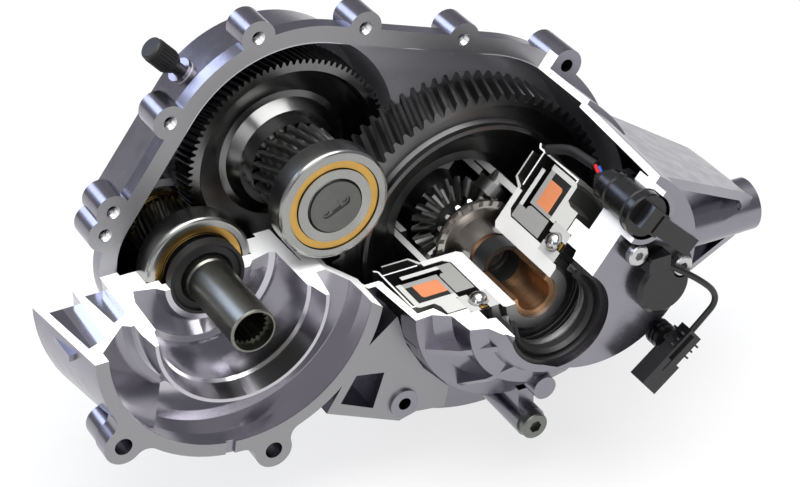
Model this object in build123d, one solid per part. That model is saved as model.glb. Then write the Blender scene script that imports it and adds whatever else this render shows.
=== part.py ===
# A two-stage reduction drive for one axle of an electric vehicle, cut open for display.
# The motor drives the input shaft, a layshaft takes the speed down twice, and the ring gear
# turns a bevel differential whose case is switched in by an electromagnet.
#
# Frame, in millimetres: the origin is on the input shaft's axis at the motor's mating face.
# The shafts lie along Y, and +Y runs from the motor into the gearbox. X is to the right, seen
# from the motor, and Z is up.

from build123d import *
from math import acos, atan, atan2, ceil, cos, degrees, hypot, pi, radians, sin, tan
import os

os.makedirs("parts", exist_ok=True)

# Shaft centres in the X-Z plane
INPUT = (0.0, 0.0)
LAY = (74.4, 39.3)
DIFF = (178.0, -23.0)

# Teeth: first stage input pinion to layshaft gear, second stage layshaft pinion to ring gear
INPUT_TEETH = 27
LAY_GEAR_TEETH = 94
LAY_PINION_TEETH = 21
RING_TEETH = 78
SIDE_TEETH = 20
PLANET_TEETH = 12
PRESSURE = radians(20)
BACKLASH = 0.36
BEVEL_BACKLASH = 0.3
FIRST_HELIX = radians(12.5)
SECOND_HELIX = radians(16)
STEP_SHARE = 0.45
WHEEL_ADDENDUM = 0.84

# Lengthwise places (Y)
SPLIT = 81.5
RING_FRONT = 48.0
RING_WIDTH = 34.0
LAY_GEAR_FRONT = 90.5
LAY_GEAR_WIDTH = 26.0
PINION_OVERHANG = 1.5
APEX = 60.0

# Input shaft
INPUT_TIP = -12.5
INPUT_TUBE_R = 14.25
INPUT_BORE_R = 11.6
INPUT_SPLINE_TEETH = 22
INPUT_SPLINE_DEEP = 36.0
INPUT_JOURNAL_R = 15.0
INPUT_REAR_R = 12.5

# Bearings: bore radius, outer radius, width, front face (Y), ball radius, number of balls
INPUT_BEARING = (INPUT_JOURNAL_R, 34.0, 16.0, 62.0, 5.2, 9)
INPUT_PITCH_R = 26.0
LAY_BEARING = (17.5, 36.0, 16.5, 29.5, 5.6, 9)
OUTPUT_BEARING = (22.5, 42.5, 18.0, -26.5, 6.0, 11)
INPUT_REAR_BEARING = (INPUT_REAR_R, 26.0, 14.0, 122.0, 4.4, 9)
LAY_REAR_BEARING = (15.0, 31.0, 15.0, 121.0, 4.8, 9)
DIFF_REAR_BEARING = (22.5, 42.5, 18.0, 114.0, 6.0, 11)
OUTPUT_BALLS_KEPT = 8
RACE_GAP = 0.12
CAGE_GAP = 0.5
RING_CHAMFER = 1.0
ROUNDING = 2.6
FIT = 0.02

# Cut planes of the display cut: level with the input shaft, a slope, level with the output
# shaft, and a half-plane that rises from the output shaft's axis
SLOPE_FROM_X = 65.0
SLOPE_TO_X = 94.0
CUT_ANGLE = 52.0

# Casing
WALL = 4.5
INPUT_CAVITY_R = 44.5
LAY_CAVITY_R = 81.0
DIFF_CAVITY_R = 108.0
FLANGE = 11.0
FLANGE_THICK = 10.0
BOSS_R = 10.8
BOSS_HOLE_R = 4.25
REAR_DEEP = 141.0
REAR_STEP = 106.0
REAR_DRAFT = 9.0
REAR_WALL = 5.0
LAY_BOSS_ANGLES = (59, 103, 147)
DIFF_BOSS_ANGLES = (84, 47)
LOWER_DIFF_BOSS_ANGLES = (8, -32, -68, -100)
LAY_BOSS_OUT = 13.5
DIFF_BOSS_OUT = 11.5
INPUT_BOSSES = ((-43.9, 41.6), (-50.0, 27.5))

# Motor bell
BELL_IN_R = 84.0
BELL_OUT_R = 92.3
BELL_REAR_R = 102.0
BELL_REAR = 71.0
BELL_SKIN = 5.0
BELL_BOLT_R = 100.5
BELL_BOLT_ANGLES = (-142.0, -81.0)
BELL_LUG_R = 12.0
BELL_HOLE_R = 5.5
BELL_LUG_THICK = 13.0
BELL_NOTCH_ANGLE = -98.0
BELL_NOTCH = (6.0, 4.0)

# Output nose of the front casing
DRUM_R = (79.5, 75.5)
DRUM_FRONT = -18.0
CAVITY_FLOOR = 30.0
NOSE_TILT = 45.0
NOSE_REAR = (30.0, 17.5, 92.5)
NOSE_FRONT = (-60.0, 38.0, 66.0)
HUB_BOSS_R = (52.5, 42.0)
HUB_BOSS_FRONT = (-42.0, -45.5)
LIP_BOSS_R = 37.5
LIP_BOSS_FRONT = -55.5
OUTPUT_BORE_R = 32.5
ARM_TIP = (350.0, -45.0)
ARM_TIP_R = 17.5
ARM_END_X = 373.0
ARM_HOLE_R = 5.1
ARM_HOLE_DEEP = 25.0

# Plug and sensor places, as angle about the output axis and radius
PLUG_AT = (52.0, 80.5)
PLUG_Y = -67.0
PLUG_BORE_R = 12.5
SENSOR_AT = (244.5, -15.0)
SENSOR_BORE_R = 9.0

PLUG_BOSS_R = 18.1
PLUG_BOSS_FRONT = -71.0
PLUG_BAR_TURN = 43.0
PLUG_BAR_GAP = 0.3
PLUG_CAP_R = 14.3
SENSOR_SCREWS = ((224.3, 13.2), (256.8, -4.1))
SCREW_HOLE_R = 2.6
HUB_BLOCK_R = 68.0
NOSE_RIBS = (200, 232, 262, 292, 322)
PAD_AT = (177.5, -81.3)
PAD_R = 7.7
PAD_Y = -45.0
DRAIN_AT = (175.0, -113.0)
DRAIN_BOSS_R = 10.0
DRAIN_BORE_R = 6.0
DRAIN_WEB = 11.0
DRAIN_Y = -34.0
ARM_BOSS_Y = 25.0
ARM_BOSS_LONG = 54.0
ARM_FACE = (-50.0, 0.2, 246.0, 0.41, 53.0)
ARM_BACK = 64.0
ARM_WEB = (16.0, 21.0)
ARM_OUTLINE = ((200, 75), (246, 53), (352, -17), (364, -28), (364, -66), (238, -133), (200, -133))
ARM_POCKET = ((214, 42), (250, 42), (350, -24), (356, -32), (356, -62), (240, -124), (214, -124))
REAR_BORE_R = 30.0
BREATHER_ANGLE = 132.0
BREATHER_Y = 120.0
BREATHER_STEM_R = 4.0
INPUT_SEAL = (24.0, 50.0, 57.0)
LEAD_PATH = ((56.0, 73.5, 27.0), (53.5, 82.0, 14.0), (52.0, 84.0, -11.0))
LEAD_R = 3.2
LEAD_BEND = 60.0
WIRE_R = 1.3
WIRE_APART = 1.6
WIRE_START = 0.9
WIRE_END = 45.2
CABLE = ((240.2, -69.0, 4.5), (262.0, -75.0, -9.0), (281.0, -76.0, -29.0), (267.0, -75.0, -44.0),
         (258.0, -75.0, -52.0))
CABLE_R = 2.0
CABLE_BEND = 60.0
BEND_SHARE = 0.45
CONNECTOR_TOP = (262.0, -75.0, -48.5)
CONNECTOR_LOW = (228.1, -75.0, -76.0)
CLIP_AT = (253.8, -60.0)
CLIP_FRONT = -46.0
CLIP_BOSS_R = 6.5
BELL_POCKET_ANGLES = (170.0, 228.0)
BELL_SKIN_ANGLES = (170.0, 292.0)
BELL_WEBS = ((-86.5, 48.0, 24.0, 46.0), (-65.0, 57.0, 19.0, 40.0))
BELL_WEB_Z = -9.0
BLOCK_X = 95.0
BLOCK_REACH = 500.0
CRUMB = 50.0
LUG_PLATE = ((51.5, -85), (74, -50), (100, -30), (106, -52), (118, -74), (136, -94), (133, -108),
             (113, -105), (101, -108))
LUG_WINDOW = ((72, -64), (91, -68), (83, -92), (61, -81))
LUG_AT = (104.0, -95.0)
LUG_R = 9.5
LUG_HOLE_R = 4.2


def ring_at(r_out, r_in, y0, y1, at=INPUT):
    """A ring, or a disc where r_in is 0, from y0 to y1 round an axis along Y."""
    plane = Plane(origin=(at[0], y1, at[1]), x_dir=(0, 0, -1), z_dir=(0, -1, 0))
    face = plane * Circle(r_out)
    if r_in > 0:
        face -= plane * Circle(r_in)
    return extrude(face, y1 - y0, dir=(0, -1, 0))


def slab(outline, y0, y1):
    """An outline drawn in X-Z, made solid from y0 to y1."""
    return extrude(Plane.XZ.offset(-y1) * outline, y1 - y0, dir=(0, -1, 0))


def turned(profile, at=INPUT):
    """A profile of (radius, y) points turned round an axis along Y."""
    points = [(at[0], y, at[1] - r) for r, y in profile]
    return revolve(make_face(Polyline(*points, close=True)), Axis((at[0], 0, at[1]), (0, 1, 0)), 360)


def polar(angle, radius, at=DIFF):
    """A point in X-Z at an angle in degrees and a radius round an axis."""
    return (at[0] + radius * cos(radians(angle)), at[1] + radius * sin(radians(angle)))


def belt(circles):
    """The outline of a belt round circles (x, z, r) given counter-clockwise."""
    normals = []
    for i, (x1, z1, r1) in enumerate(circles):
        x2, z2, r2 = circles[(i + 1) % len(circles)]
        gap = hypot(x2 - x1, z2 - z1)
        normals.append(atan2(z2 - z1, x2 - x1) - acos((r1 - r2) / gap))
    lines = []
    for i, (x1, z1, r1) in enumerate(circles):
        before, after = normals[i - 1], normals[i]
        sweep = (after - before) % (2 * pi)
        start, middle, end = [(x1 + r1 * cos(a), z1 + r1 * sin(a)) for a in
                              (before, before + sweep / 2, after)]
        x2, z2, r2 = circles[(i + 1) % len(circles)]
        following = (x2 + r2 * cos(after), z2 + r2 * sin(after))
        lines += [ThreePointArc(start, middle, end), Line(end, following)]
    return make_face(lines)


def gearbox_belt(grow):
    """The casing's outline round all three shafts, grown by an offset."""
    return belt([(*INPUT, INPUT_CAVITY_R + grow), (*DIFF, DIFF_CAVITY_R + grow), (*LAY, LAY_CAVITY_R + grow)])


def tapered(face0, face1, y0, y1):
    """A ruled body between two outlines in X-Z."""
    return loft([Plane.XZ.offset(-y0) * face0, Plane.XZ.offset(-y1) * face1], ruled=True)


def involute(angle):
    return tan(angle) - angle


def gear_points(teeth, pitch_r, tip_r, root_r, phase, flank):
    """One section of a gear as (x, z) points. flank is the number of straight runs up a flank."""
    base_r = pitch_r * cos(PRESSURE)
    at_pitch = pi / (2 * teeth) - BACKLASH / 4 / pitch_r + involute(PRESSURE)

    def half_angle(r):
        return at_pitch - involute(acos(base_r / max(r, base_r)))

    low = max(base_r, root_r)
    rise = [(root_r, half_angle(low))]
    rise += [(low + (tip_r - low) * k / flank, half_angle(low + (tip_r - low) * k / flank))
             for k in range(1, flank + 1)]
    points = []
    for i in range(teeth):
        centre = phase + 2 * pi * i / teeth
        points += [(r, centre - half) for r, half in rise]
        points += [(r, centre + half) for r, half in reversed(rise)]
    return [(r * cos(a), r * sin(a)) for r, a in points]


def helical(teeth, module, at, y0, width, y_mesh, phase, helix, flank, addendum=1.0):
    """A solid helical gear blank. Its tooth stands at phase where y is y_mesh."""
    pitch_r = module * teeth / 2
    twist = width * abs(tan(helix)) / pitch_r
    steps = ceil(twist / (STEP_SHARE * 2 * pi / teeth))
    sections = []
    for k in range(steps + 1):
        y = y0 + width * k / steps
        turn = phase + (y - y_mesh) * tan(helix) / pitch_r
        points = gear_points(teeth, pitch_r, pitch_r + addendum * module, pitch_r - 1.22 * module, turn,
                             flank)
        sections.append(make_face(Polyline(*[(at[0] + x, y, at[1] + z) for x, z in points], close=True)))
    return loft(sections, ruled=True)


def bevel(teeth, mate_teeth, module, phase, face_share=0.62):
    """A bevel gear with its apex at the origin and its axis along +Z, large end up."""
    pitch_r, reach = module * teeth / 2, module * mate_teeth / 2
    cone = hypot(pitch_r, reach)
    tilt = atan2(pitch_r, reach)
    virtual_r = pitch_r / cos(tilt)
    virtual_teeth = teeth / cos(tilt)
    virtual_base = virtual_r * cos(PRESSURE)
    at_pitch = pi / (2 * virtual_teeth) - BEVEL_BACKLASH / 4 / virtual_r + involute(PRESSURE)
    tip_tilt, root_tilt = tilt + atan(module / cone), tilt - atan(1.25 * module / cone)

    def half_angle(cone_tilt):
        rv = virtual_r + cone * (cone_tilt - tilt)
        arc = rv * (at_pitch - involute(acos(virtual_base / max(rv, virtual_base))))
        return arc / (cone * sin(cone_tilt))

    runs = 3
    tilts = [root_tilt + (tip_tilt - root_tilt) * k / runs for k in range(runs + 1)]
    sections = []
    for share in (face_share, 1.0):
        points = []
        for i in range(teeth):
            centre = phase + 2 * pi * i / teeth
            points += [(reach * share * tan(t), centre - half_angle(t)) for t in tilts]
            points += [(reach * share * tan(t), centre + half_angle(t)) for t in reversed(tilts)]
        sections.append(make_face(Polyline(*[(r * cos(a), r * sin(a), reach * share) for r, a in points],
                                           close=True)))
    return loft(sections, ruled=True), reach, cone


def wedge(size=400.0):
    """The sector that the display cut takes out of everything round the output shaft."""
    reach = [(0, 0), (-size, 0), (-size, size), polar(CUT_ANGLE, size * 1.5, (0, 0))]
    return slab(Pos(*DIFF) * make_face(Polyline(*reach, close=True)), -200, 200)


def casing_cut(size=500.0):
    """What the display cut takes off the front casing."""
    outline = [(-size, INPUT[1]), (SLOPE_FROM_X, INPUT[1]), (SLOPE_TO_X, DIFF[1]), DIFF,
               polar(CUT_ANGLE, size), (-size, size)]
    return slab(make_face(Polyline(*outline, close=True)), -200, SPLIT)


def bearing(spec, at, start=10.0, sweep=360.0, balls_kept=0, pitch_r=0.0):
    """A deep-groove ball bearing: outer ring, inner ring, balls and cage.

    A bearing that is cut open keeps balls_kept balls, spread over sweep degrees from start.
    """
    bore_r, outer_r, width, front, ball_r, count = spec
    pitch_r = pitch_r or (bore_r + outer_r) / 2
    middle = front + width / 2
    track = Pos(at[0], middle, at[1]) * Rot(90, 0, 0) * Torus(pitch_r, ball_r + RACE_GAP)
    c = RING_CHAMFER
    back = front + width
    land_out, land_in = pitch_r + 0.5 * ball_r, pitch_r - 0.5 * ball_r
    nose = [(outer_r - ROUNDING * (1 - sin(a)), front + ROUNDING * (1 - cos(a)))
            for a in (0, pi / 8, pi / 4, 3 * pi / 8, pi / 2)]
    outer = turned([(land_out, front), *nose, (outer_r, back - c), (outer_r - c, back), (land_out, back)],
                   at) - track
    inner = turned([(bore_r, front + c / 2), (bore_r + c / 2, front), (land_in, front), (land_in, back),
                    (bore_r + c / 2, back), (bore_r, back - c / 2)], at) - track
    balls, pockets = [], []
    step = sweep / (balls_kept - 1) if balls_kept else sweep / count
    for i in range(balls_kept or count):
        angle = start + step * i
        x, z = polar(angle, pitch_r, at)
        balls.append(Pos(x, middle, z) * Sphere(ball_r))
        pockets.append(Pos(x, middle, z) * Rot(0, -angle, 0) * Rot(0, 90, 0)
                       * Cylinder(ball_r + 0.2, outer_r - bore_r))
    cage = ring_at(land_out - CAGE_GAP, land_in + CAGE_GAP, front + 1.2, back - 1.2, at) - pockets
    return outer, inner, balls, cage


def save(name, shape):
    """Write one node. A list of solids becomes a group."""
    if isinstance(shape, (list, tuple)):
        shape = Compound(children=[s if isinstance(s, Solid) else s.solid() for s in shape])
    export_step(shape, f"parts/{name}.step")


# Gear sizes that follow from the shaft centres and the teeth
FIRST_MODULE = 2 * hypot(*LAY) / (INPUT_TEETH + LAY_GEAR_TEETH)
SECOND_GAP = (DIFF[0] - LAY[0], DIFF[1] - LAY[1])
SECOND_MODULE = 2 * hypot(*SECOND_GAP) / (LAY_PINION_TEETH + RING_TEETH)
FIRST_LINE = atan2(LAY[1], LAY[0])
SECOND_LINE = atan2(SECOND_GAP[1], SECOND_GAP[0])
INPUT_ROOT_R = FIRST_MODULE * (INPUT_TEETH / 2 - 1.22)
RING_BACK = RING_FRONT + RING_WIDTH
LAY_GEAR_BACK = LAY_GEAR_FRONT + LAY_GEAR_WIDTH
BEVEL_MODULE = 2.6
PLANET_REACH = BEVEL_MODULE * SIDE_TEETH / 2

# Layshaft and its gear
LAY_SEAT_R = 18.0
LAY_COLLAR_R = 22.0
LAY_PINION_FRONT = 47.2
LAY_PINION_BACK = 84.0
GEAR_HUB_R = 31.0
GEAR_CONE = (38.0, 99.0)
GEAR_WEB = (97.0, 107.0)
GEAR_RIM_IN_R = 57.5
END_DISC = (16.6, 28.2, 30.2)

# Differential case, hub flange and what runs in them
CASE_R = 42.0
CASE_IN_R = 37.5
CASE_FRONT = 36.2
CASE_HOOK_R = 52.0
SLEEVE_OUT_R = 36.4
SLEEVE_IN_R = 32.3
SLEEVE_FRONT = 72.0
CASE_BACK_WALL = 99.0
HUB_BORE_R = 14.35
HUB_DISC = (43.0, 31.0, 36.2)
HUB_TUBE_R = 26.0
HUB_FRONT = -31.0
BUSH = (11.0, -27.5, 7.5)
SPACER = (11.3, 7.6, 21.0)
CROSS_PIN_R = 7.5
PIN_ANGLE = 42.0
RUNNING = 0.08
DOG_R = 29.0
DOG_IN_R = 24.5
DOG_SLOTS = 24
SIDE_BORE_R = 10.4

# Electromagnet
YOKE_R = 68.5
YOKE_IN_R = 65.0
YOKE = (-7.5, -3.2, 20.0)
MAGNET_BORE_R = 40.6
COIL = (42.8, 60.0, 1.0, 14.8)
BOBBIN_BACK = 19.4
CAN_R = 71.0
CAN_SHEET = 1.2
CAN_BACK = 34.2
CAN_HOLE_R = 46.0
CAN_LIP = (73.0, 40.0)
PUSHER = (26.9, 39.6, -3.5)
ARMATURE = (36.0, 62.0, 23.6, 27.2)
TARGET_R = 66.0
TARGET_Y = 42.0


def input_shaft():
    journal = INPUT_JOURNAL_R - FIT
    rear = INPUT_REAR_R - FIT
    front_back = INPUT_BEARING[3] + INPUT_BEARING[2]
    gear_y0, gear_y1 = LAY_GEAR_FRONT - PINION_OVERHANG, LAY_GEAR_BACK + PINION_OVERHANG
    tip = INPUT_TIP
    blank = turned([(0, tip), (INPUT_TUBE_R - 0.8, tip), (INPUT_TUBE_R, tip + 0.8), (INPUT_TUBE_R, 46),
                    (journal, 47.5), (journal, front_back), (INPUT_ROOT_R - 0.4, front_back),
                    (INPUT_ROOT_R - 0.4, gear_y0 + 1), (INPUT_ROOT_R - 1, gear_y1), (rear, gear_y1),
                    (rear, INPUT_REAR_BEARING[3] + INPUT_REAR_BEARING[2]),
                    (0, INPUT_REAR_BEARING[3] + INPUT_REAR_BEARING[2])])
    gear = helical(INPUT_TEETH, FIRST_MODULE, INPUT, gear_y0, gear_y1 - gear_y0, LAY_GEAR_FRONT, FIRST_LINE,
                   -FIRST_HELIX, 2)
    spline = []
    for i in range(INPUT_SPLINE_TEETH):
        for share, r in ((0.05, INPUT_BORE_R - 0.9), (0.35, INPUT_BORE_R - 0.9), (0.5, INPUT_BORE_R + 0.5),
                         (0.9, INPUT_BORE_R + 0.5)):
            a = 2 * pi * (i + share) / INPUT_SPLINE_TEETH
            spline.append((r * cos(a), r * sin(a)))
    bore = slab(make_face(Polyline(*spline, close=True)), tip, tip + INPUT_SPLINE_DEEP)
    mouth = ring_at(INPUT_BORE_R + 1.0, 0, tip - 1, tip + 8)
    return blank + gear - bore - mouth


def layshaft():
    journal, rear, seat = LAY_BEARING[0] - FIT, LAY_REAR_BEARING[0] - FIT, LAY_SEAT_R - FIT
    bearing_back = LAY_BEARING[3] + LAY_BEARING[2]
    end = LAY_REAR_BEARING[3] + LAY_REAR_BEARING[2]
    blank = turned([(0, END_DISC[2]), (journal - 1, END_DISC[2]), (journal, END_DISC[2] + 1),
                    (journal, bearing_back),
                    (LAY_COLLAR_R, bearing_back), (LAY_COLLAR_R, LAY_PINION_BACK + 1.5),
                    (seat, LAY_PINION_BACK + 1.5),
                    (seat, LAY_REAR_BEARING[3]), (rear, LAY_REAR_BEARING[3]), (rear, end), (0, end)], LAY)
    pinion = helical(LAY_PINION_TEETH, SECOND_MODULE, LAY, LAY_PINION_FRONT, LAY_PINION_BACK
                     - LAY_PINION_FRONT,
                     RING_FRONT, SECOND_LINE, SECOND_HELIX, 3)
    return blank + pinion


def layshaft_gear():
    gear = helical(LAY_GEAR_TEETH, FIRST_MODULE, LAY, LAY_GEAR_FRONT, LAY_GEAR_WIDTH, LAY_GEAR_FRONT,
                   FIRST_LINE + pi + pi / LAY_GEAR_TEETH, FIRST_HELIX, 1, WHEEL_ADDENDUM)
    front, back = LAY_GEAR_FRONT, LAY_GEAR_BACK
    rim, far = GEAR_RIM_IN_R, 1.0
    cone_r, cone_y = GEAR_CONE
    dish = turned([(GEAR_HUB_R, front - far), (rim + 1.5, front - far), (rim + 1.5, front + 1),
                   (rim, front + 2.5),
                   (rim - 1, GEAR_WEB[0] - 1), (cone_r + 4, GEAR_WEB[0] + 3), (cone_r, cone_y),
                   (GEAR_HUB_R, front)], LAY)
    rear_dish = turned([(GEAR_HUB_R, back + far), (GEAR_HUB_R, GEAR_WEB[1] + 2), (rim - 1, GEAR_WEB[1]),
                        (rim, back - 2), (rim, back + far)], LAY)
    hub = ring_at(GEAR_HUB_R, 0, LAY_PINION_BACK + 1.6, LAY_REAR_BEARING[3] - 0.5, LAY)
    bore = ring_at(LAY_SEAT_R, 0, 0, 200, LAY)
    collar = turned([(GEAR_HUB_R - 4, LAY_PINION_BACK), (GEAR_HUB_R - 1, LAY_PINION_BACK),
                     (GEAR_HUB_R + 4, front + 1.5),
                     (GEAR_HUB_R - 4, front + 1.5)], LAY)
    return gear - dish - rear_dish + hub - bore - collar


def layshaft_end_disc():
    r, y0, y1 = END_DISC
    disc = ring_at(r, 0, y0, y1, LAY)
    place = Pos(*LAY) * Rot(0, 0, 25)
    slot = slab(place * (SlotOverall(20, 7.5)), y0 - 1, y0 + 1)
    ends = slab(place * (Pos(-6.6, 0) * Circle(1.9) + Pos(6.6, 0) * Circle(1.9)), y0 - 1, y1 - 0.4)
    square = slab(place * Rectangle(6, 6), y0 - 1, y1 - 0.3)
    return disc - slot - ends - square


def ring_gear():
    blank = helical(RING_TEETH, SECOND_MODULE, DIFF, RING_FRONT, RING_WIDTH, RING_FRONT,
                    SECOND_LINE + pi + pi / RING_TEETH, -SECOND_HELIX, 1, WHEEL_ADDENDUM)
    front, back = RING_FRONT, RING_BACK
    groove = turned([(76, front - 1), (89.5, front - 1), (88.5, front + 3.5), (86, front + 6),
                     (78, front + 6),
                     (76, front + 4)], DIFF)
    bowl = turned([(0, front - 1), (73.5, front - 1), (72, front + 4), (60, front + 17), (48, front + 22),
                   (0, front + 22)], DIFF)
    rear = turned([(0, back - 5), (54, back - 5), (58, back - 10), (84, back - 12), (86, back + 1),
                   (0, back + 1)], DIFF)
    bore = ring_at(CASE_R + FIT, 0, front, back, DIFF)
    return blank - groove - bowl - rear - bore


def differential_case():
    back = DIFF_REAR_BEARING[3]
    end = back + DIFF_REAR_BEARING[2] + 2
    web = RING_BACK - 5
    shell = turned([(CASE_IN_R, CASE_FRONT), (CASE_R, CASE_FRONT), (CASE_R, web), (CASE_HOOK_R - 2, web),
                    (CASE_HOOK_R, web + 2), (CASE_HOOK_R, web + 7), (CASE_HOOK_R - 3, web + 7),
                    (CASE_R + 3, web + 5),
                    (CASE_R, web + 9), (SLEEVE_OUT_R, web + 12), (SLEEVE_OUT_R, back - 6), (30, back - 1),
                    (27, back), (DIFF_REAR_BEARING[0] - FIT, back), (DIFF_REAR_BEARING[0] - FIT, end),
                    (HUB_BORE_R, end), (HUB_BORE_R, CASE_BACK_WALL), (SLEEVE_IN_R, CASE_BACK_WALL),
                    (SLEEVE_IN_R, SLEEVE_FRONT), (SLEEVE_OUT_R, SLEEVE_FRONT), (SLEEVE_OUT_R, web + 6.5),
                    (CASE_IN_R, web + 6.5)], DIFF)
    pin_hole = pin_cylinder(CROSS_PIN_R + FIT, CASE_R + 8)
    return shell - wedge() - pin_hole


def pin_place():
    """The cross pin's frame: apex as origin, Z along the pin."""
    a = radians(PIN_ANGLE)
    return Plane(origin=(DIFF[0], APEX, DIFF[1]), x_dir=(0, 1, 0), z_dir=(cos(a), 0, sin(a)))


def pin_cylinder(r, half):
    return pin_place() * Cylinder(r, 2 * half)


def cross_pin():
    return pin_cylinder(CROSS_PIN_R, CASE_R - 0.3)


def hub_flange():
    disc_r, y0, y1 = HUB_DISC
    journal = OUTPUT_BEARING[0] - FIT
    shoulder = OUTPUT_BEARING[3] + OUTPUT_BEARING[2]
    body = turned([(HUB_BORE_R, HUB_FRONT), (journal - 1.5, HUB_FRONT), (journal, HUB_FRONT + 1.5),
                   (journal, shoulder),
                   (HUB_TUBE_R, shoulder), (HUB_TUBE_R, y0 - 4), (HUB_TUBE_R + 4, y0), (disc_r, y0),
                   (disc_r, y1),
                   (HUB_BORE_R + 3, y1), (HUB_BORE_R, y1 - 3)], DIFF)
    return body - wedge()


def side_gear(direction):
    """A bevel side gear. direction is -1 for the one nearer the motor and 1 for the far one."""
    teeth, reach, cone = bevel(SIDE_TEETH, PLANET_TEETH, BEVEL_MODULE, 0)
    a = radians(PIN_ANGLE)
    place = Plane(origin=(DIFF[0], APEX, DIFF[1]), x_dir=(cos(a), 0, sin(a)), z_dir=(0, direction, 0))
    back = (CASE_BACK_WALL - APEX if direction > 0 else APEX - HUB_DISC[2]) - 2.2
    hub_end = back + 14
    root = reach * tan(atan2(PLANET_REACH, reach) - atan(1.25 * BEVEL_MODULE / cone))
    gear = teeth & Sphere(cone + 1.0)
    if direction > 0:
        gear += Pos(0, 0, (reach + back) / 2) * Cone(root, 22.0, back - reach)
    else:
        gear += Pos(0, 0, reach + 1.3) * Cone(root, 23.4, 2.6)
        gear += Pos(0, 0, reach + 3.0) * Cone(23.4, DOG_R, 0.8)
        gear += Pos(0, 0, (reach + 3.4 + back) / 2) * Cylinder(DOG_R, back - reach - 3.4)
        gear -= Pos(0, 0, back - 2.0) * Cone(14.5, DOG_IN_R, 4.2)
        slots = [Rot(0, 0, 360 * i / DOG_SLOTS) * Pos(DOG_R, 0, back - 1.2)
                 * Box(7, 3.0, 3.2) for i in range(DOG_SLOTS)]
        gear -= slots
    gear += Pos(0, 0, (reach + hub_end) / 2) * Cylinder(HUB_BORE_R - RUNNING, hub_end - reach)
    return place * (gear - Cylinder(SIDE_BORE_R, 200))


def planet(side):
    """A planet on one end of the cross pin. side is 1 or -1."""
    teeth, reach, cone = bevel(PLANET_TEETH, SIDE_TEETH, BEVEL_MODULE, pi / PLANET_TEETH)
    a = radians(PIN_ANGLE)
    place = Plane(origin=(DIFF[0], APEX, DIFF[1]), x_dir=(0, 1, 0), z_dir=(side * cos(a), 0, side * sin(a)))
    boss = Pos(0, 0, reach + 4.2) * Cylinder(11.5, 8.4)
    return place * ((teeth & Sphere(cone + 1.0)) + boss - Cylinder(CROSS_PIN_R + RUNNING, 200))



# Casing parts that hold the shafts and the electromagnet

def sector(angle0, angle1, at, y0, y1, size=400.0):
    """A wedge-shaped cutter between two angles (degrees) round an axis, less than half a turn."""
    points = [(0, 0), polar(angle0, size, (0, 0)), polar((angle0 + angle1) / 2, size * 1.5, (0, 0)),
              polar(angle1, size, (0, 0))]
    return slab(Pos(*at) * make_face(Polyline(*points, close=True)), y0, y1)


def bell():
    """The motor bell: mating ring, sloped web, inner ring and the input bearing's seat."""
    seat_r, seat_y = INPUT_BEARING[1] + FIT, INPUT_BEARING[3]
    core = turned([(INPUT_SEAL[0] + FIT, INPUT_SEAL[1]), (27.4, INPUT_SEAL[1]), (31.4, 55), (44, 58.5),
                   (47.5, 57),
                   (48.5, 16), (50, 14), (53.2, 0.8), (55.4, 0.8), (59.3, 27), (62, 30), (79, 30), (82.5, 25),
                   (BELL_IN_R, 12), (BELL_IN_R, 0), (BELL_OUT_R, 0), (BELL_OUT_R + 2, 36), (58.5, 36.5),
                   (56.4, 42),
                   (55.5, SPLIT), (INPUT_CAVITY_R, SPLIT), (INPUT_CAVITY_R, 77.5), (seat_r, 77.5),
                   (seat_r, seat_y),
                   (26.5, seat_y), (26.5, INPUT_SEAL[2]), (INPUT_SEAL[0] + FIT, INPUT_SEAL[2])])
    left = sector(*BELL_POCKET_ANGLES, INPUT, -5, 100)
    ribbed = turned([(57, 26), (59.3, 25.7), (63.8, 29), (81.5, 11.4), (BELL_IN_R, 9), (90, 9), (89.5, 16.5),
                     (76.4, 21.7), (74.9, 76.4), (73.7, 77.4), (72.2, 76.4), (66.7, 33.6), (57.6, 38.8)])
    channel = ring_at(BELL_OUT_R + 8, 57.5, 9, 60)
    lip = ring_at(BELL_OUT_R, BELL_IN_R, 0, 12)
    skin = turned([(BELL_OUT_R - 3, 0.0), (BELL_OUT_R, 0), (BELL_REAR_R, BELL_REAR),
                   (BELL_REAR_R - BELL_SKIN, BELL_REAR),
                   (88.5, 12), (BELL_IN_R + 1, 12), (BELL_IN_R + 1, 0)]) & sector(*BELL_SKIN_ANGLES, INPUT,
                           -5, 100)
    body = core - (channel & left) + (ribbed & left) + lip + skin
    outline = Circle(BELL_OUT_R) + [Pos(*polar(a, BELL_BOLT_R, INPUT))
                                    * Circle(BELL_LUG_R) for a in BELL_BOLT_ANGLES]
    lugs = slab(fillet(outline.vertices(), 9), 0, BELL_LUG_THICK)
    lugs += [slab(Pos(*polar(a, BELL_BOLT_R, INPUT)) * Circle(BELL_LUG_R - 1), 0,
                  30) for a in BELL_BOLT_ANGLES]
    body += lugs - ring_at(BELL_OUT_R - 0.3, 0, -1, 40)
    body -= [ring_at(BELL_HOLE_R, 0, -1, 40, polar(a, BELL_BOLT_R, INPUT)) for a in BELL_BOLT_ANGLES]
    body += [Pos(x, y, BELL_WEB_Z) * Box(wide, long, 4) for x, y, wide, long in BELL_WEBS]
    notch_x, notch_z = polar(BELL_NOTCH_ANGLE, (BELL_IN_R + BELL_OUT_R) / 2, INPUT)
    return body - Pos(notch_x, 0, notch_z) * Rot(0, 90 - BELL_NOTCH_ANGLE, 0) * Box(BELL_NOTCH[0],
            BELL_NOTCH[1], 30)


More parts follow.
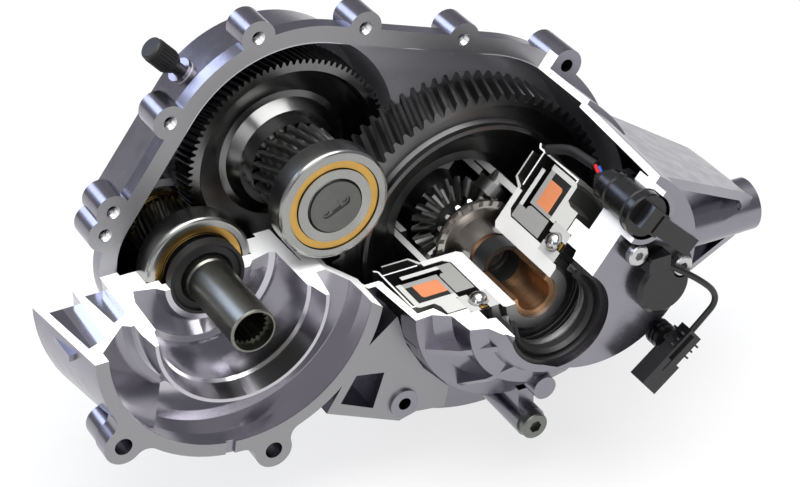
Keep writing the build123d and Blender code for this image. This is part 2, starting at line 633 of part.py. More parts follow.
def lug_plate():
    """The block between bell and drum, with a window and a screw lug."""
    block = slab(make_face(Polyline(*LUG_PLATE, close=True)), 0, CAVITY_FLOOR) + ring_at(LUG_R, 0, -2,
            CAVITY_FLOOR, LUG_AT)
    block -= slab(make_face(Polyline(*LUG_WINDOW, close=True)), -1, 20) - ring_at(LUG_R, 0, -2, 21, LUG_AT)
    return block - ring_at(LUG_HOLE_R, 0, -3, 20, LUG_AT) - ring_at(BELL_OUT_R - 2, 0, -3, 60)


def drum_profile():
    seat_r, seat_y = OUTPUT_BEARING[1] + FIT, OUTPUT_BEARING[3]
    return [(DRUM_R[0], CAVITY_FLOOR), (DRUM_R[1], DRUM_FRONT), (64, DRUM_FRONT + 0.5),
            (HUB_BOSS_R[0] + 2, DRUM_FRONT - 6), (HUB_BOSS_R[0], HUB_BOSS_FRONT[0]),
            (HUB_BOSS_R[1], HUB_BOSS_FRONT[1]), (LIP_BOSS_R, LIP_BOSS_FRONT), (OUTPUT_BORE_R, LIP_BOSS_FRONT),
            (OUTPUT_BORE_R, -38), (37.5, -37), (37.5, seat_y), (seat_r, seat_y), (seat_r, -21.5),
            (56.5, -21.5),
            (60, -11.5), (71, -12), (DRUM_R[0] - 5.5, CAVITY_FLOOR)]


def nose_circle(y, grow=0.0):
    """The eccentric circle that the output nose has at y."""
    share = (y - NOSE_REAR[0]) / (NOSE_FRONT[0] - NOSE_REAR[0])
    off = NOSE_REAR[1] + share * (NOSE_FRONT[1] - NOSE_REAR[1])
    r = NOSE_REAR[2] + share * (NOSE_FRONT[2] - NOSE_REAR[2])
    return Pos(*polar(NOSE_TILT, off)) * Circle(r + grow)


def nose_body(y0, y1, grow=0.0):
    return tapered(nose_circle(y0, grow), nose_circle(y1, grow), y0, y1)


def arm_section(points, lift):
    """A closed outline of (x, z) points on the arm's sloping front face, moved back by lift."""
    return make_face(Polyline(*[(x, ARM_FACE[0] + ARM_FACE[1] * (x - ARM_FACE[2]) + ARM_FACE[3]
                                 * (ARM_FACE[4] - z) + lift, z)
                                for x, z in points], close=True))


def arm():
    """The mounting arm: its block, the pockets either side of its web, and the boss at its tip."""
    block = loft([Plane.XZ.offset(-ARM_BACK) * make_face(Polyline(*ARM_OUTLINE, close=True)),
                  arm_section(ARM_OUTLINE, 0)], ruled=True)
    front = loft([arm_section(ARM_POCKET, ARM_WEB[0]), arm_section(ARM_POCKET, -60)], ruled=True)
    rear = loft([Plane.XZ.offset(-ARM_BACK - 1) * make_face(Polyline(*ARM_POCKET, close=True)),
                 arm_section(ARM_POCKET, ARM_WEB[1])], ruled=True)
    boss = (Pos(ARM_END_X - ARM_BOSS_LONG / 2, ARM_BOSS_Y, ARM_TIP[1]) * Rot(0, 90, 0)
            * Cylinder(ARM_TIP_R, ARM_BOSS_LONG))
    keep = ring_at(DIFF_CAVITY_R + WALL, 0, CAVITY_FLOOR - WALL, 100, DIFF) + nose_body(CAVITY_FLOOR + 1,
            NOSE_FRONT[0])
    return block, front - keep - boss, rear - keep - boss, boss


def front_casing():
    flange = gearbox_belt(FLANGE)
    flange += [Pos(*p) * Circle(BOSS_R) for p in boss_places()]
    shell = slab(gearbox_belt(WALL), CAVITY_FLOOR - WALL, SPLIT) + slab(flange, SPLIT - FLANGE_THICK, SPLIT)
    nose = nose_body(CAVITY_FLOOR + 1, NOSE_FRONT[0])
    arm_block, arm_front, arm_rear, arm_boss = arm()
    body = shell + nose + (arm_block - slab(Rectangle(2000, 2000), -200, NOSE_FRONT[0])) + arm_boss
    drum = turned(drum_profile(), DIFF)
    right = nose_body(CAVITY_FLOOR + 2, NOSE_FRONT[0] + 8, -WALL)
    hub_block = (ring_at(HUB_BLOCK_R, 0, NOSE_FRONT[0], -36, DIFF) & nose_body(CAVITY_FLOOR, NOSE_FRONT[0]))
    cavity = slab(gearbox_belt(0), 68, SPLIT + 1) - ring_at(56.4, 0, 0, 90)
    cavity += ring_at(DIFF_CAVITY_R, 0, CAVITY_FLOOR, SPLIT + 1, DIFF)
    cavity += ring_at(DRUM_R[0] - 6, 0, -12, CAVITY_FLOOR + 1, DIFF)
    body = body - cavity - right - arm_front - arm_rear
    x, z = polar(*PLUG_AT)
    body += hub_block
    body += ring_at(PLUG_BOSS_R, 0, PLUG_BOSS_FRONT, -44, (x, z))
    body -= turned([(0, -22), (37.5, -22), (37.5, -37), (OUTPUT_BORE_R, -38), (OUTPUT_BORE_R, -80),
                    (0, -80)], DIFF)
    body -= ring_at(56.5, 0, -22, 0, DIFF) + ring_at(OUTPUT_BEARING[1] + FIT, 0, OUTPUT_BEARING[3], 0, DIFF)
    body += drum - (right - ring_at(52, 0, -100, 100, DIFF))
    for angle in NOSE_RIBS:
        rib = make_face(Polyline((40, -50), (58, -36), (76, -14), (78, 6), (60, 0), (40, -20), close=True))
        place = Plane(origin=(DIFF[0], 0, DIFF[1]), x_dir=(cos(radians(angle)), 0, sin(radians(angle))),
                      z_dir=(-sin(radians(angle)), 0, cos(radians(angle))))
        body += extrude(place * rib, 2.2, both=True) - turned(drum_inside(), DIFF)
    body += ring_at(PAD_R, 0, PAD_Y, -5, PAD_AT) - turned(drum_inside(), DIFF)
    body += ring_at(DRAIN_BOSS_R, 0, DRAIN_Y, CAVITY_FLOOR - 1, DRAIN_AT) - turned(drum_inside(), DIFF)
    web = Pos(DRAIN_AT[0], (DRAIN_Y + 6 + CAVITY_FLOOR) / 2, DRAIN_AT[1] + 9) * Box(DRAIN_WEB, CAVITY_FLOOR
            - DRAIN_Y - 6, 26)
    body += web - turned(drum_inside(), DIFF)
    body += ring_at(CLIP_BOSS_R, 0, CLIP_FRONT, 0, CLIP_AT) - turned(drum_inside(), DIFF) - right
    body -= ring_at(57, 0, -1, SPLIT + 1)
    body += bell()
    body += lug_plate() - turned(drum_inside(), DIFF)
    body -= ring_at(PLUG_BORE_R, 0, -80, 0, (x, z)) + ring_at(PLUG_CAP_R + 0.5, 0, -80, PLUG_Y + 6, (x, z))
    sx, sz = SENSOR_AT
    body -= ring_at(SENSOR_BORE_R, 0, -80, -10, (sx, sz))
    body -= [ring_at(SCREW_HOLE_R, 0, -80, NOSE_FRONT[0] + 14, p) for p in SENSOR_SCREWS]
    body -= ring_at(DRAIN_BORE_R, 0, DRAIN_Y - 1, CAVITY_FLOOR + 1, DRAIN_AT)
    body -= Pos(ARM_END_X - ARM_HOLE_DEEP / 2, ARM_BOSS_Y, ARM_TIP[1]) * Rot(0, 90,
            0) * Cylinder(ARM_HOLE_R, ARM_HOLE_DEEP)
    body -= [ring_at(BOSS_HOLE_R, 0, SPLIT - FLANGE_THICK - 20, SPLIT + 1, p) for p in boss_places()]
    body -= ring_at(LAY_BEARING[1] + 1, 0, LAY_BEARING[3] - 4, SPLIT + 1, LAY)
    return body - casing_cut()


def blocks(body):
    """The casing as touching blocks, so that no block reaches round a shaft."""
    low, high, side = -BLOCK_REACH, BLOCK_REACH, DIFF[0]
    cells = [(low, INPUT[0], low, high), (INPUT[0], BLOCK_X, low, high), (BLOCK_X, side, low, high),
             (side, high, low, DIFF[1]), (side, high, DIFF[1], high)]
    cut = [body & Pos((x0 + x1) / 2, 0, (z0 + z1) / 2) * Box(x1 - x0, BLOCK_REACH, z1 - z0)
           for x0, x1, z0, z1 in cells]
    return [solid for block in cut for solid in block.solids() if solid.volume > CRUMB]


def drum_inside():
    return [(0, -80), (OUTPUT_BORE_R, -80), (OUTPUT_BORE_R, -38), (37.5, -37), (43, -26), (43, -21.5),
            (56.5, -21.5),
            (60, -11.5), (71, -12), (DRUM_R[0] - 5.5, CAVITY_FLOOR), (0, CAVITY_FLOOR)]


def boss_places():
    places = list(INPUT_BOSSES)
    places += [polar(a, LAY_CAVITY_R + LAY_BOSS_OUT, LAY) for a in LAY_BOSS_ANGLES]
    places += [polar(a, DIFF_CAVITY_R + DIFF_BOSS_OUT) for a in DIFF_BOSS_ANGLES + LOWER_DIFF_BOSS_ANGLES]
    return places


def rear_casing():
    outline = gearbox_belt(FLANGE) + [Pos(*p) * Circle(BOSS_R) for p in boss_places()]
    flange = slab(outline, SPLIT + 0.02, SPLIT + FLANGE_THICK)
    deep0 = belt([(*INPUT, INPUT_CAVITY_R + WALL), (*LAY, LAY_CAVITY_R + WALL)])
    deep1 = belt([(*INPUT, INPUT_CAVITY_R - 4), (*LAY, LAY_CAVITY_R + WALL - REAR_DRAFT)])
    deep = tapered(deep0, deep1, SPLIT + 0.02, REAR_DEEP)
    wide = tapered(gearbox_belt(WALL), gearbox_belt(WALL - 4), SPLIT + 0.02, REAR_STEP)
    bosses = [ring_at(BOSS_R, 0, SPLIT + 0.02, REAR_STEP - 3, p) for p in boss_places()]
    hub = turned([(0, REAR_STEP - 8), (60, REAR_STEP - 8), (54, REAR_STEP), (51, 137), (0, 137)], DIFF)
    body = flange + wide + deep + bosses + hub
    inner_wide = tapered(gearbox_belt(0), gearbox_belt(-4), SPLIT - 0.01, REAR_STEP - REAR_WALL)
    inner_deep = tapered(belt([(*INPUT, INPUT_CAVITY_R), (*LAY, LAY_CAVITY_R)]),
                         belt([(*INPUT, INPUT_CAVITY_R - 8), (*LAY, LAY_CAVITY_R - REAR_DRAFT)]),
                         SPLIT - 0.01, REAR_DEEP - REAR_WALL)
    body = body - inner_deep - inner_wide
    seats = []
    for spec, at, depth in ((INPUT_REAR_BEARING, INPUT, 3), (LAY_REAR_BEARING, LAY, 3)):
        seats.append(ring_at(spec[1] + 5, 0, spec[3] - depth, REAR_DEEP - 1, at))
    seats.append(turned([(44, REAR_STEP - 6), (47, REAR_STEP - 6), (49, REAR_STEP), (49, 136), (30, 137),
                         (30, 132.1),
                         (44, 132.1)], DIFF))
    body += seats
    body -= ring_at(INPUT_REAR_BEARING[1] + FIT, 0, 118, 136, INPUT) + ring_at(LAY_REAR_BEARING[1] + FIT, 0,
            117, 136, LAY)
    body -= ring_at(DIFF_REAR_BEARING[1] + FIT, 0, REAR_STEP - 10, 132, DIFF) + ring_at(REAR_BORE_R, 0, 120,
            140, DIFF)
    body -= ring_at(44.5, 0, REAR_STEP - 10, DIFF_REAR_BEARING[3], DIFF)
    body -= [ring_at(BOSS_HOLE_R, 0, SPLIT - 1, SPLIT + 16, p) for p in boss_places()[:-4]]
    body -= [ring_at(BOSS_HOLE_R, 0, SPLIT - 1, REAR_STEP + 1, p) for p in boss_places()[-4:]]
    bx, bz = polar(BREATHER_ANGLE, LAY_CAVITY_R - 3, LAY)
    pad = Pos(bx, BREATHER_Y, bz) * Rot(0, 90 - BREATHER_ANGLE, 0) * Cylinder(8, 12)
    bore = Pos(bx, BREATHER_Y, bz) * Rot(0, 90 - BREATHER_ANGLE, 0) * Cylinder(BREATHER_STEM_R + FIT, 30)
    return body + (pad - inner_deep) - bore


# Electromagnet, seals and the pieces that are fixed to the casing

def magnet_yoke():
    y0, y1, y2 = YOKE
    hub_r, hub_out_r = OUTPUT_BEARING[1] + FIT, 55.0
    return turned([(hub_r, -20.5), (hub_out_r, -20.5), (hub_out_r, -12), (hub_out_r + 2, y0),
                   (YOKE_R - 2, y0), (YOKE_R, y0 + 2),
                   (YOKE_R, y2), (YOKE_IN_R, y2), (YOKE_IN_R, y1), (MAGNET_BORE_R, y1), (MAGNET_BORE_R, -8.3),
                   (hub_r, -8.3)], DIFF) - wedge()


def magnet_coil():
    r0, r1, y0, y1 = COIL
    return turned([(r0, y0), (r1 - 1.5, y0), (r1, y0 + 1.5), (r1, y1), (r0, y1)], DIFF) - wedge()


def magnet_potting():
    r0, r1, y0, y1 = COIL
    return turned([(r0, YOKE[1]), (YOKE_IN_R, YOKE[1]), (YOKE_IN_R, y1), (r1, y1), (r1, y0 + 1.5),
                   (r1 - 1.5, y0),
                   (r0, y0)], DIFF) - wedge()


def magnet_bobbin():
    r0, r1, y0, y1 = COIL
    return turned([(MAGNET_BORE_R, YOKE[1]), (r0, YOKE[1]), (r0, y1), (YOKE_IN_R, y1),
                   (YOKE_IN_R, BOBBIN_BACK),
                   (MAGNET_BORE_R, BOBBIN_BACK)], DIFF) - wedge()


def magnet_can():
    r, t = CAN_R, CAN_SHEET
    lip_r, lip_y = CAN_LIP
    sheet = turned([(YOKE_R, YOKE[0] + 2.2), (r, YOKE[0] + 2.2), (r, lip_y - 2), (lip_r, lip_y),
                    (lip_r, lip_y + t), (lip_r - t, lip_y + t),
                    (r - t, lip_y - 1), (r - t, CAN_BACK), (CAN_HOLE_R, CAN_BACK), (CAN_HOLE_R, CAN_BACK - t),
                    (r - t, CAN_BACK - t), (r - t, YOKE[0] + 2.2 + t), (YOKE_R, YOKE[0] + 2.2 + t)], DIFF)
    x, z = polar(LEAD_PATH[0][0], 1, (0, 0))
    return sheet - wedge() - Pos(DIFF[0] + (r - 1) * x, LEAD_PATH[0][2], DIFF[1] + (r - 1) * z) * Rot(0, 0,
            0) * Sphere(LEAD_R + 0.6)


def pusher():
    r_in, r_out, y0 = PUSHER
    return turned([(r_in, y0), (r_out, y0), (r_out, 17), (ARMATURE[0] + 2, 19), (ARMATURE[0], 19),
                   (ARMATURE[0], ARMATURE[3]),
                   (r_in, ARMATURE[3])], DIFF) - wedge()


def armature():
    r_in, r_out, y0, y1 = ARMATURE
    return ring_at(r_out, r_in + FIT, y0, y1, DIFF) - wedge()


def target_disc():
    return turned([(HUB_DISC[0] + FIT, 34), (HUB_DISC[0] + 1.6, 34), (48, TARGET_Y), (TARGET_R, TARGET_Y),
                   (TARGET_R, TARGET_Y + 1.3),
                   (47, TARGET_Y + 1.3), (HUB_DISC[0] + FIT, 36.2)], DIFF) - wedge()


def input_seal():
    r, y0, y1 = INPUT_SEAL
    return turned([(INPUT_JOURNAL_R + 0.04, y0 + 3), (17, y0 + 1), (r - 3, y0 + 1.6), (r - 2, y0), (r, y0),
                   (r, y1 - 0.2), (18, y1 - 0.2),
                   (17, y1 - 3), (INPUT_JOURNAL_R + 0.04, y1 - 4)])


def output_seal():
    r = OUTPUT_BORE_R - FIT
    return turned([(HUB_TUBE_R - 1.6, -50), (HUB_TUBE_R, -53), (29, -51), (30, -54.5), (r, -54.5), (r, -40),
                   (29.5, -40), (29, -48),
                   (26.5, -46), (HUB_TUBE_R - 1.6, -45)], DIFF) - wedge()


def output_seal_case():
    return turned([(27.5, -44.6), (29.0, -46.5), (29.3, -40.2), (29.3, -38.9), (25, -38.9), (25, -40.2),
                   (28.1, -40.2)], DIFF) - wedge()


def rear_output_seal():
    return turned([(HUB_BORE_R + 4, 134.3), (REAR_BORE_R - FIT, 134.3), (REAR_BORE_R - FIT, 138), (27, 138),
                   (26, 136), (HUB_BORE_R + 4, 136.5)], DIFF)


def plug():
    x, z = polar(*PLUG_AT)
    y = PLUG_Y
    cap = turned([(0, y - 2.5), (PLUG_CAP_R - 1, y - 2.5), (PLUG_CAP_R, y - 1.5), (PLUG_CAP_R, y + 3.0),
                  (PLUG_BORE_R - 0.35, y + 3.0), (PLUG_BORE_R - 0.35, y + 5.9), (PLUG_BORE_R - FIT, y + 5.9),
                  (PLUG_BORE_R - FIT, y + 23), (11.4, y + 24), (11.4, y + 26), (PLUG_BORE_R - FIT, y + 27),
                  (PLUG_BORE_R - FIT, y + 30), (10.5, y + 32), (10.5, y + 38), (0, y + 38)], (x, z))
    aslant = Pos(x, 0, z) * Rot(0, PLUG_BAR_TURN, 0)
    head = aslant * Pos(1, y - 6, 0) * Box(15, 8, 15)
    bar_front, bar_back = y - 11, PLUG_BOSS_FRONT - PLUG_BAR_GAP
    bar = aslant * Pos(21, (bar_front + bar_back) / 2, 0) * Box(35, bar_back - bar_front, 12)
    rear = Pos(x - 1, y + 37, z) * Box(15, 10, 13) + Pos(x - 1, y + 42, z + 2) * Box(10, 5, 8)
    clip = Pos(x + 9, y + 33, z + 6) * Box(7, 7, 6)
    return cap + head + bar + rear + clip


def plug_ring():
    x, z = polar(*PLUG_AT)
    return Pos(x, PLUG_Y + 4.4, z) * Rot(90, 0, 0) * Torus(PLUG_BORE_R + 0.95, 1.25)


def screw(at, y, head_r, head_h, shank_r, shank_end, hex_r):
    """A socket-head screw along Y with its head in front."""
    x, z = at
    body = turned([(0, y - head_h), (head_r - 0.8, y - head_h), (head_r, y - head_h + 0.8), (head_r, y),
                   (shank_r, y),
                   (shank_r, shank_end), (0, shank_end)], at)
    return body - slab(Pos(x, z) * RegularPolygon(hex_r, 6), y - head_h - 1, y - head_h * 0.35)


def sensor():
    y = NOSE_FRONT[0]
    plate = slab(make_hull((Pos(*SENSOR_SCREWS[0]) * Circle(7.1) + Pos(*SENSOR_SCREWS[1])
                            * Circle(9)).edges()), y - 4, y - 0.02)
    x, z = SENSOR_AT
    body = turned([(0, y - 9), (16, y - 9), (18.5, y - 6.5), (18.5, y - 0.02),
                   (SENSOR_BORE_R - FIT, y - 0.02), (SENSOR_BORE_R - FIT, -24),
                   (0, -24)], SENSOR_AT)
    start = CABLE[0]
    outlet = Pos(start[0] - 3, y - 8, start[2] + 1) * Box(15, 9, 10)
    body = body + plate + outlet - [ring_at(7.4, 0, y - 30, y - 4, p) for p in SENSOR_SCREWS]
    return body - [ring_at(SCREW_HOLE_R + 0.2, 0, y - 20, y, p) for p in SENSOR_SCREWS] - tube(CABLE,
            CABLE_BEND, CABLE_R + FIT)


def tube(points, bend, r):
    """A round tube along points; each corner's arc takes most of its shorter run, up to bend."""
    corners = [Vector(*p) for p in points]
    bends = []
    for a, b, c in zip(corners, corners[1:], corners[2:]):
        half = radians((b - a).get_angle(c - b)) / 2
        bends.append(min(bend, BEND_SHARE * min((b - a).length, (c - b).length) / tan(half)))
    path = FilletPolyline(*points, radius=bends) if bends else Line(*points)
    return sweep(Plane(origin=path @ 0, z_dir=path % 0) * Circle(r), path)


def coil_wire(lead, aside):
    """One of the two wires between the sleeve's end and the back of the plug."""
    sx, sy, sz = lead[-1]
    px, pz = polar(*PLUG_AT)
    ux, uz = cos(radians(LEAD_PATH[-1][0] - 90)), sin(radians(LEAD_PATH[-1][0] - 90))
    return tube([(sx + aside * ux, sy - WIRE_START, sz + aside * uz),
                 (px - 1 + aside * ux, PLUG_Y + WIRE_END, pz + 2 + aside * uz)], 1, WIRE_R)


def cable_connector():
    top, low = CONNECTOR_TOP, CONNECTOR_LOW
    run = hypot(low[0] - top[0], low[2] - top[2])
    place = Plane(origin=top, x_dir=((low[0] - top[0]) / run, 0, (low[2] - top[2]) / run), z_dir=(0, -1, 0))
    body = Pos(run / 2, 0, 0) * Box(run, 12, 10)
    body += Pos(run - 11, 0, 0) * Box(22, 15, 13)
    body += Pos(run / 2 - 6, 0, 5.4) * Box(run - 16, 4, 3)
    body += [Pos(5 + 4.5 * i, 0, 0) * Box(1.3, 21 - 2 * (i % 2), 8) for i in range(3)]
    body -= Pos(run - 6, 0, 0) * Box(14, 10, 8)
    return place * body - tube(CABLE, CABLE_BEND, CABLE_R + FIT)


def cable_clip():
    x, z = CLIP_AT
    body = turned([(0, -67), (4, -67), (4, -64), (8.5, -62), (8.5, -58.6), (7, -58.6), (7, -57.4),
                   (8.5, -57.4), (8.5, -55), (7, -55),
                   (7, -53.8), (8.5, -53.8), (8.5, -51), (5, -50), (5, CLIP_FRONT - FIT),
                   (0, CLIP_FRONT - FIT)], CLIP_AT)
    return body + Pos(x + 1, -66, z + 2) * Box(9, 5, 7)


def drain_plug():
    return screw(DRAIN_AT, DRAIN_Y - 0.02, 8.8, 6.0, DRAIN_BORE_R - FIT, -20, 4.2)


def breather(part):
    a = radians(BREATHER_ANGLE)
    x, z = polar(BREATHER_ANGLE, LAY_CAVITY_R - 8, LAY)
    place = Plane(origin=(x, BREATHER_Y, z), x_dir=(0, 1, 0), z_dir=(cos(a), 0, sin(a)))
    if part == "stem":
        return place * (Pos(0, 0, 9.5) * Cylinder(BREATHER_STEM_R, 19) + Pos(0, 0, 17.5) * Cylinder(5.6, 3))
    cap = Pos(0, 0, 28) * Cylinder(7.3, 17.9)
    ribs = [Rot(0, 0, 15 * i) * Pos(7.3, 0, 27) * Box(0.9, 0.9, 13) for i in range(24)]
    return place * fillet((cap).edges().sort_by(Axis.Z)[-1:], 1.5) + [place * r for r in ribs]


def flange_bolt(at):
    """A flange screw from behind, through the rear casing into the front one."""
    x, z = at
    y = REAR_STEP - 2.98
    shank = ring_at(BOSS_HOLE_R - FIT, 0, SPLIT - 16, y, at)
    head = slab(Pos(x, z) * RegularPolygon(6.5, 6), y, y + 6.5) + ring_at(8.2, 0, y, y + 1.6, at)
    return shank + head


# Every node
save("front_casing", blocks(front_casing()))
save("rear_casing", rear_casing())
save("flange_bolts", [flange_bolt(p) for p in boss_places()[-4:]])
save("input_shaft", input_shaft())
save("input_seal", input_seal())
front_in, rear_in = bearing(INPUT_BEARING, INPUT, pitch_r=INPUT_PITCH_R), bearing(INPUT_REAR_BEARING, INPUT)
front_lay, rear_lay = bearing(LAY_BEARING, LAY), bearing(LAY_REAR_BEARING, LAY)
front_out = bearing(OUTPUT_BEARING, DIFF, 180.0, 180.0 + CUT_ANGLE, OUTPUT_BALLS_KEPT)
rear_out = bearing(DIFF_REAR_BEARING, DIFF)
for name, front, rear in (("input_bearing", front_in, rear_in), ("layshaft_bearing", front_lay, rear_lay)):
    save(f"{name}_outer_ring", front[0])
    save(f"{name}_inner_rings", [front[1], rear[1]])
    save(f"{name}_balls", front[2] + rear[2])
    save(f"{name}_cages", [front[3], rear[3]])
save("output_bearing_outer_ring", front_out[0] - wedge())
save("output_bearing_inner_ring", front_out[1] - wedge())
save("output_bearing_balls", front_out[2] + rear_out[2])
save("output_bearing_cages", [front_out[3] - wedge(), rear_out[3]])
save("rear_bearing_outer_rings", [rear_in[0], rear_lay[0], rear_out[0]])
save("differential_rear_inner_ring", rear_out[1])
save("layshaft", layshaft())
save("layshaft_gear", layshaft_gear())
save("layshaft_end_disc", layshaft_end_disc())
save("ring_gear", ring_gear())
save("differential_case", differential_case())
save("hub_flange", hub_flange())
save("hub_bush", ring_at(HUB_BORE_R - RUNNING, BUSH[0], BUSH[1], BUSH[2], DIFF) - wedge())
save("spacer_sleeve", ring_at(HUB_BORE_R - RUNNING, SPACER[0], SPACER[1] + 0.1, SPACER[2], DIFF))
save("cross_pin", cross_pin())
save("near_side_gear", side_gear(-1))
save("far_side_gear", side_gear(1))
save("upper_planet_gear", planet(1))
save("lower_planet_gear", planet(-1))
save("sensing_disc", target_disc())
save("output_seal", output_seal())
save("output_seal_spring", output_seal_case())
save("rear_output_seal", rear_output_seal())
save("magnet_yoke", magnet_yoke())
save("magnet_coil", magnet_coil())
save("magnet_potting", magnet_potting())
save("coil_bobbin", magnet_bobbin())
save("magnet_can", magnet_can())
save("pusher_sleeve", pusher())
save("armature_plate", armature())
lead = [(*polar(a, r), y) for a, r, y in LEAD_PATH]
lead = [(x, y, z) for x, z, y in lead]
save("coil_lead_sleeve", tube(lead, LEAD_BEND, LEAD_R))
save("coil_wire_red", coil_wire(lead, -WIRE_APART))
save("coil_wire_blue", coil_wire(lead, WIRE_APART))
save("connector_plug", plug())
save("plug_o_ring", plug_ring())
save("speed_sensor", sensor())
save("sensor_screws", [screw(p, NOSE_FRONT[0] - 4.02, 6.7, 5.0, SCREW_HOLE_R - FIT, NOSE_FRONT[0] + 12,
                             3.0) for p in SENSOR_SCREWS])
save("sensor_cable", tube(CABLE, CABLE_BEND, CABLE_R))
save("sensor_connector", cable_connector())
save("connector_clip", cable_clip())
save("drain_plug", drain_plug())
save("breather_stem", breather("stem"))
save("breather_cap", breather("cap"))
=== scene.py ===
# %% [markdown]
# # A cut-open electric drive unit
# The part is a two-step reduction gearbox with a differential, an electromagnet and its
# plug, with an upper quarter cut away to show what is inside. The exact solids come from
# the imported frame. This lesson gives them a camera, light and surfaces, and adds the
# small pieces that solids don't carry well: the bent cable, a thin shield and threads.

# %% Load the frame
from math import cos, pi, radians, sin

import bmesh
import bpy
from mathutils import Matrix, Vector


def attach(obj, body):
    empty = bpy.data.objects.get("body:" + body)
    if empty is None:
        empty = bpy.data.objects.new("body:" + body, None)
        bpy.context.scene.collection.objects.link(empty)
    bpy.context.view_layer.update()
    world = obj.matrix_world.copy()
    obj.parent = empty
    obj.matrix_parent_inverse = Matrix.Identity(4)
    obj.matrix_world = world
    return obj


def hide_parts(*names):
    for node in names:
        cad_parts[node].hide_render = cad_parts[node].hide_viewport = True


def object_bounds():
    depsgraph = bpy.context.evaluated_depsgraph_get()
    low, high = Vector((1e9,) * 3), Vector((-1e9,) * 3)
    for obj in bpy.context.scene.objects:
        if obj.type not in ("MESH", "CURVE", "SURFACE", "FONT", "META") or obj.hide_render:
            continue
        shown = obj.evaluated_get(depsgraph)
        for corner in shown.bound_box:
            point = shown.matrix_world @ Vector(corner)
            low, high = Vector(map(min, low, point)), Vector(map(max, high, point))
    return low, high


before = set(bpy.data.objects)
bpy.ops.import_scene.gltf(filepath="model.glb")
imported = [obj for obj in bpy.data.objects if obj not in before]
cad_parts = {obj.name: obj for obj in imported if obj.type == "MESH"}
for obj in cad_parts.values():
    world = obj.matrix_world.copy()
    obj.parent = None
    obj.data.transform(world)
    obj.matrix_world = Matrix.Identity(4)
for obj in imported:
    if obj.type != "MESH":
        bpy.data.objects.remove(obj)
cad_low, cad_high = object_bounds()
print("nodes", len(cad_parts), "box", [round(1000 * v) for v in cad_high - cad_low])

# %% [markdown]
# The shafts are the places that most things turn about, so their centres are named once.
# The cut follows four planes: level with the input shaft, a short slope, level with the
# output, and a plane that rises from the output axis at 52 degrees.

# %% Places of the part, in metres
MM = 0.001
INPUT_AXIS = (0.0, 0.0)
LAY_AXIS = (74.4 * MM, 39.3 * MM)
OUTPUT_AXIS = (178.0 * MM, -23.0 * MM)
SLOPE_FROM = (65.0 * MM, 0.0)
SLOPE_TO = (94.0 * MM, -23.0 * MM)
CUT_ANGLE = radians(52)
SPLIT_FACE = 81.5 * MM

# %% [markdown]
# The camera stands where the photographer's stood: 29 degrees to the left of the shafts
# and 33 degrees up, rather far away, so the picture has little perspective. The aim is
# given along the camera's own right and up directions, which keeps it easy to nudge.

# %% Camera
AZIMUTH = radians(28.67)
ELEVATION = radians(32.71)
FOCAL_OVER_WIDTH = 2413 / 800
SENSOR_WIDTH = 36
DISTANCE = 1.37541
AIM_RIGHT, AIM_UP, AIM_BACK = 0.08322, 0.05022, -0.01254

back = Vector((-sin(AZIMUTH) * cos(ELEVATION), -cos(AZIMUTH) * cos(ELEVATION), sin(ELEVATION)))
right = Vector((cos(AZIMUTH), -sin(AZIMUTH), 0))
up = back.cross(right)
camera_data = bpy.data.cameras.new("camera")
camera_data.sensor_width = SENSOR_WIDTH
camera_data.lens = SENSOR_WIDTH * FOCAL_OVER_WIDTH
camera_data.clip_start, camera_data.clip_end = 0.05, 50
camera = bpy.data.objects.new("camera", camera_data)
turn = Matrix((right, up, back)).transposed().to_4x4()
place = back * DISTANCE + right * AIM_RIGHT + up * AIM_UP + Vector((0, AIM_BACK, 0))
camera.matrix_world = Matrix.Translation(place) @ turn
bpy.context.scene.collection.objects.link(camera)
bpy.context.scene.camera = camera
print("camera", [round(v, 3) for v in place])

# %% [markdown]
# Bright metal shows what stands round it, so the light is most of its colour. The world
# is a cloudy slope from dark blue low down to white overhead, which gives the casing its
# streaks. A wide lamp overhead is the main light, weak ones at the left and in front open
# the shadows, and a bluish one behind tints the rims.

# %% World and lamps
SKY_STRENGTH = 1.0
SKY_PATCHES = 2.6
SKY_SLOPE = 0.6
SKY_UNEVEN = 0.55
SKY_TONES = ((0.20, (0.07, 0.075, 0.13)), (0.60, (0.30, 0.30, 0.335)), (0.92, (1.1, 1.1, 1.1)))
LAMP_AIM = Vector((0.12, 0.02, 0.0))

scene = bpy.context.scene
scene.view_settings.view_transform = "Standard"
world = bpy.data.worlds.new("studio")
world.use_nodes = True
sky = world.node_tree.nodes["Background"]
sky.inputs["Strength"].default_value = SKY_STRENGTH
whither = world.node_tree.nodes.new("ShaderNodeTexCoord")
height = world.node_tree.nodes.new("ShaderNodeSeparateXYZ")
cloud = world.node_tree.nodes.new("ShaderNodeTexNoise")
cloud.inputs["Scale"].default_value = SKY_PATCHES
slope = world.node_tree.nodes.new("ShaderNodeMath")
slope.operation = "MULTIPLY"
slope.inputs[1].default_value = SKY_SLOPE
lift = world.node_tree.nodes.new("ShaderNodeMath")
lift.operation = "MULTIPLY_ADD"
lift.inputs[1].default_value = SKY_UNEVEN
ramp = world.node_tree.nodes.new("ShaderNodeValToRGB")
ramp.color_ramp.interpolation = "EASE"
stops = (ramp.color_ramp.elements.new(0.5), *ramp.color_ramp.elements)
for stop, (level, tone) in zip(stops, SKY_TONES):
    stop.position = level
    stop.color = (*tone, 1)
links = world.node_tree.links
links.new(whither.outputs["Generated"], height.inputs[0])
links.new(whither.outputs["Generated"], cloud.inputs["Vector"])
links.new(cloud.outputs["Fac"], lift.inputs[0])
links.new(height.outputs["Z"], slope.inputs[0])
links.new(slope.outputs[0], lift.inputs[2])
links.new(lift.outputs[0], ramp.inputs["Fac"])
links.new(ramp.outputs["Color"], sky.inputs["Color"])
scene.world = world


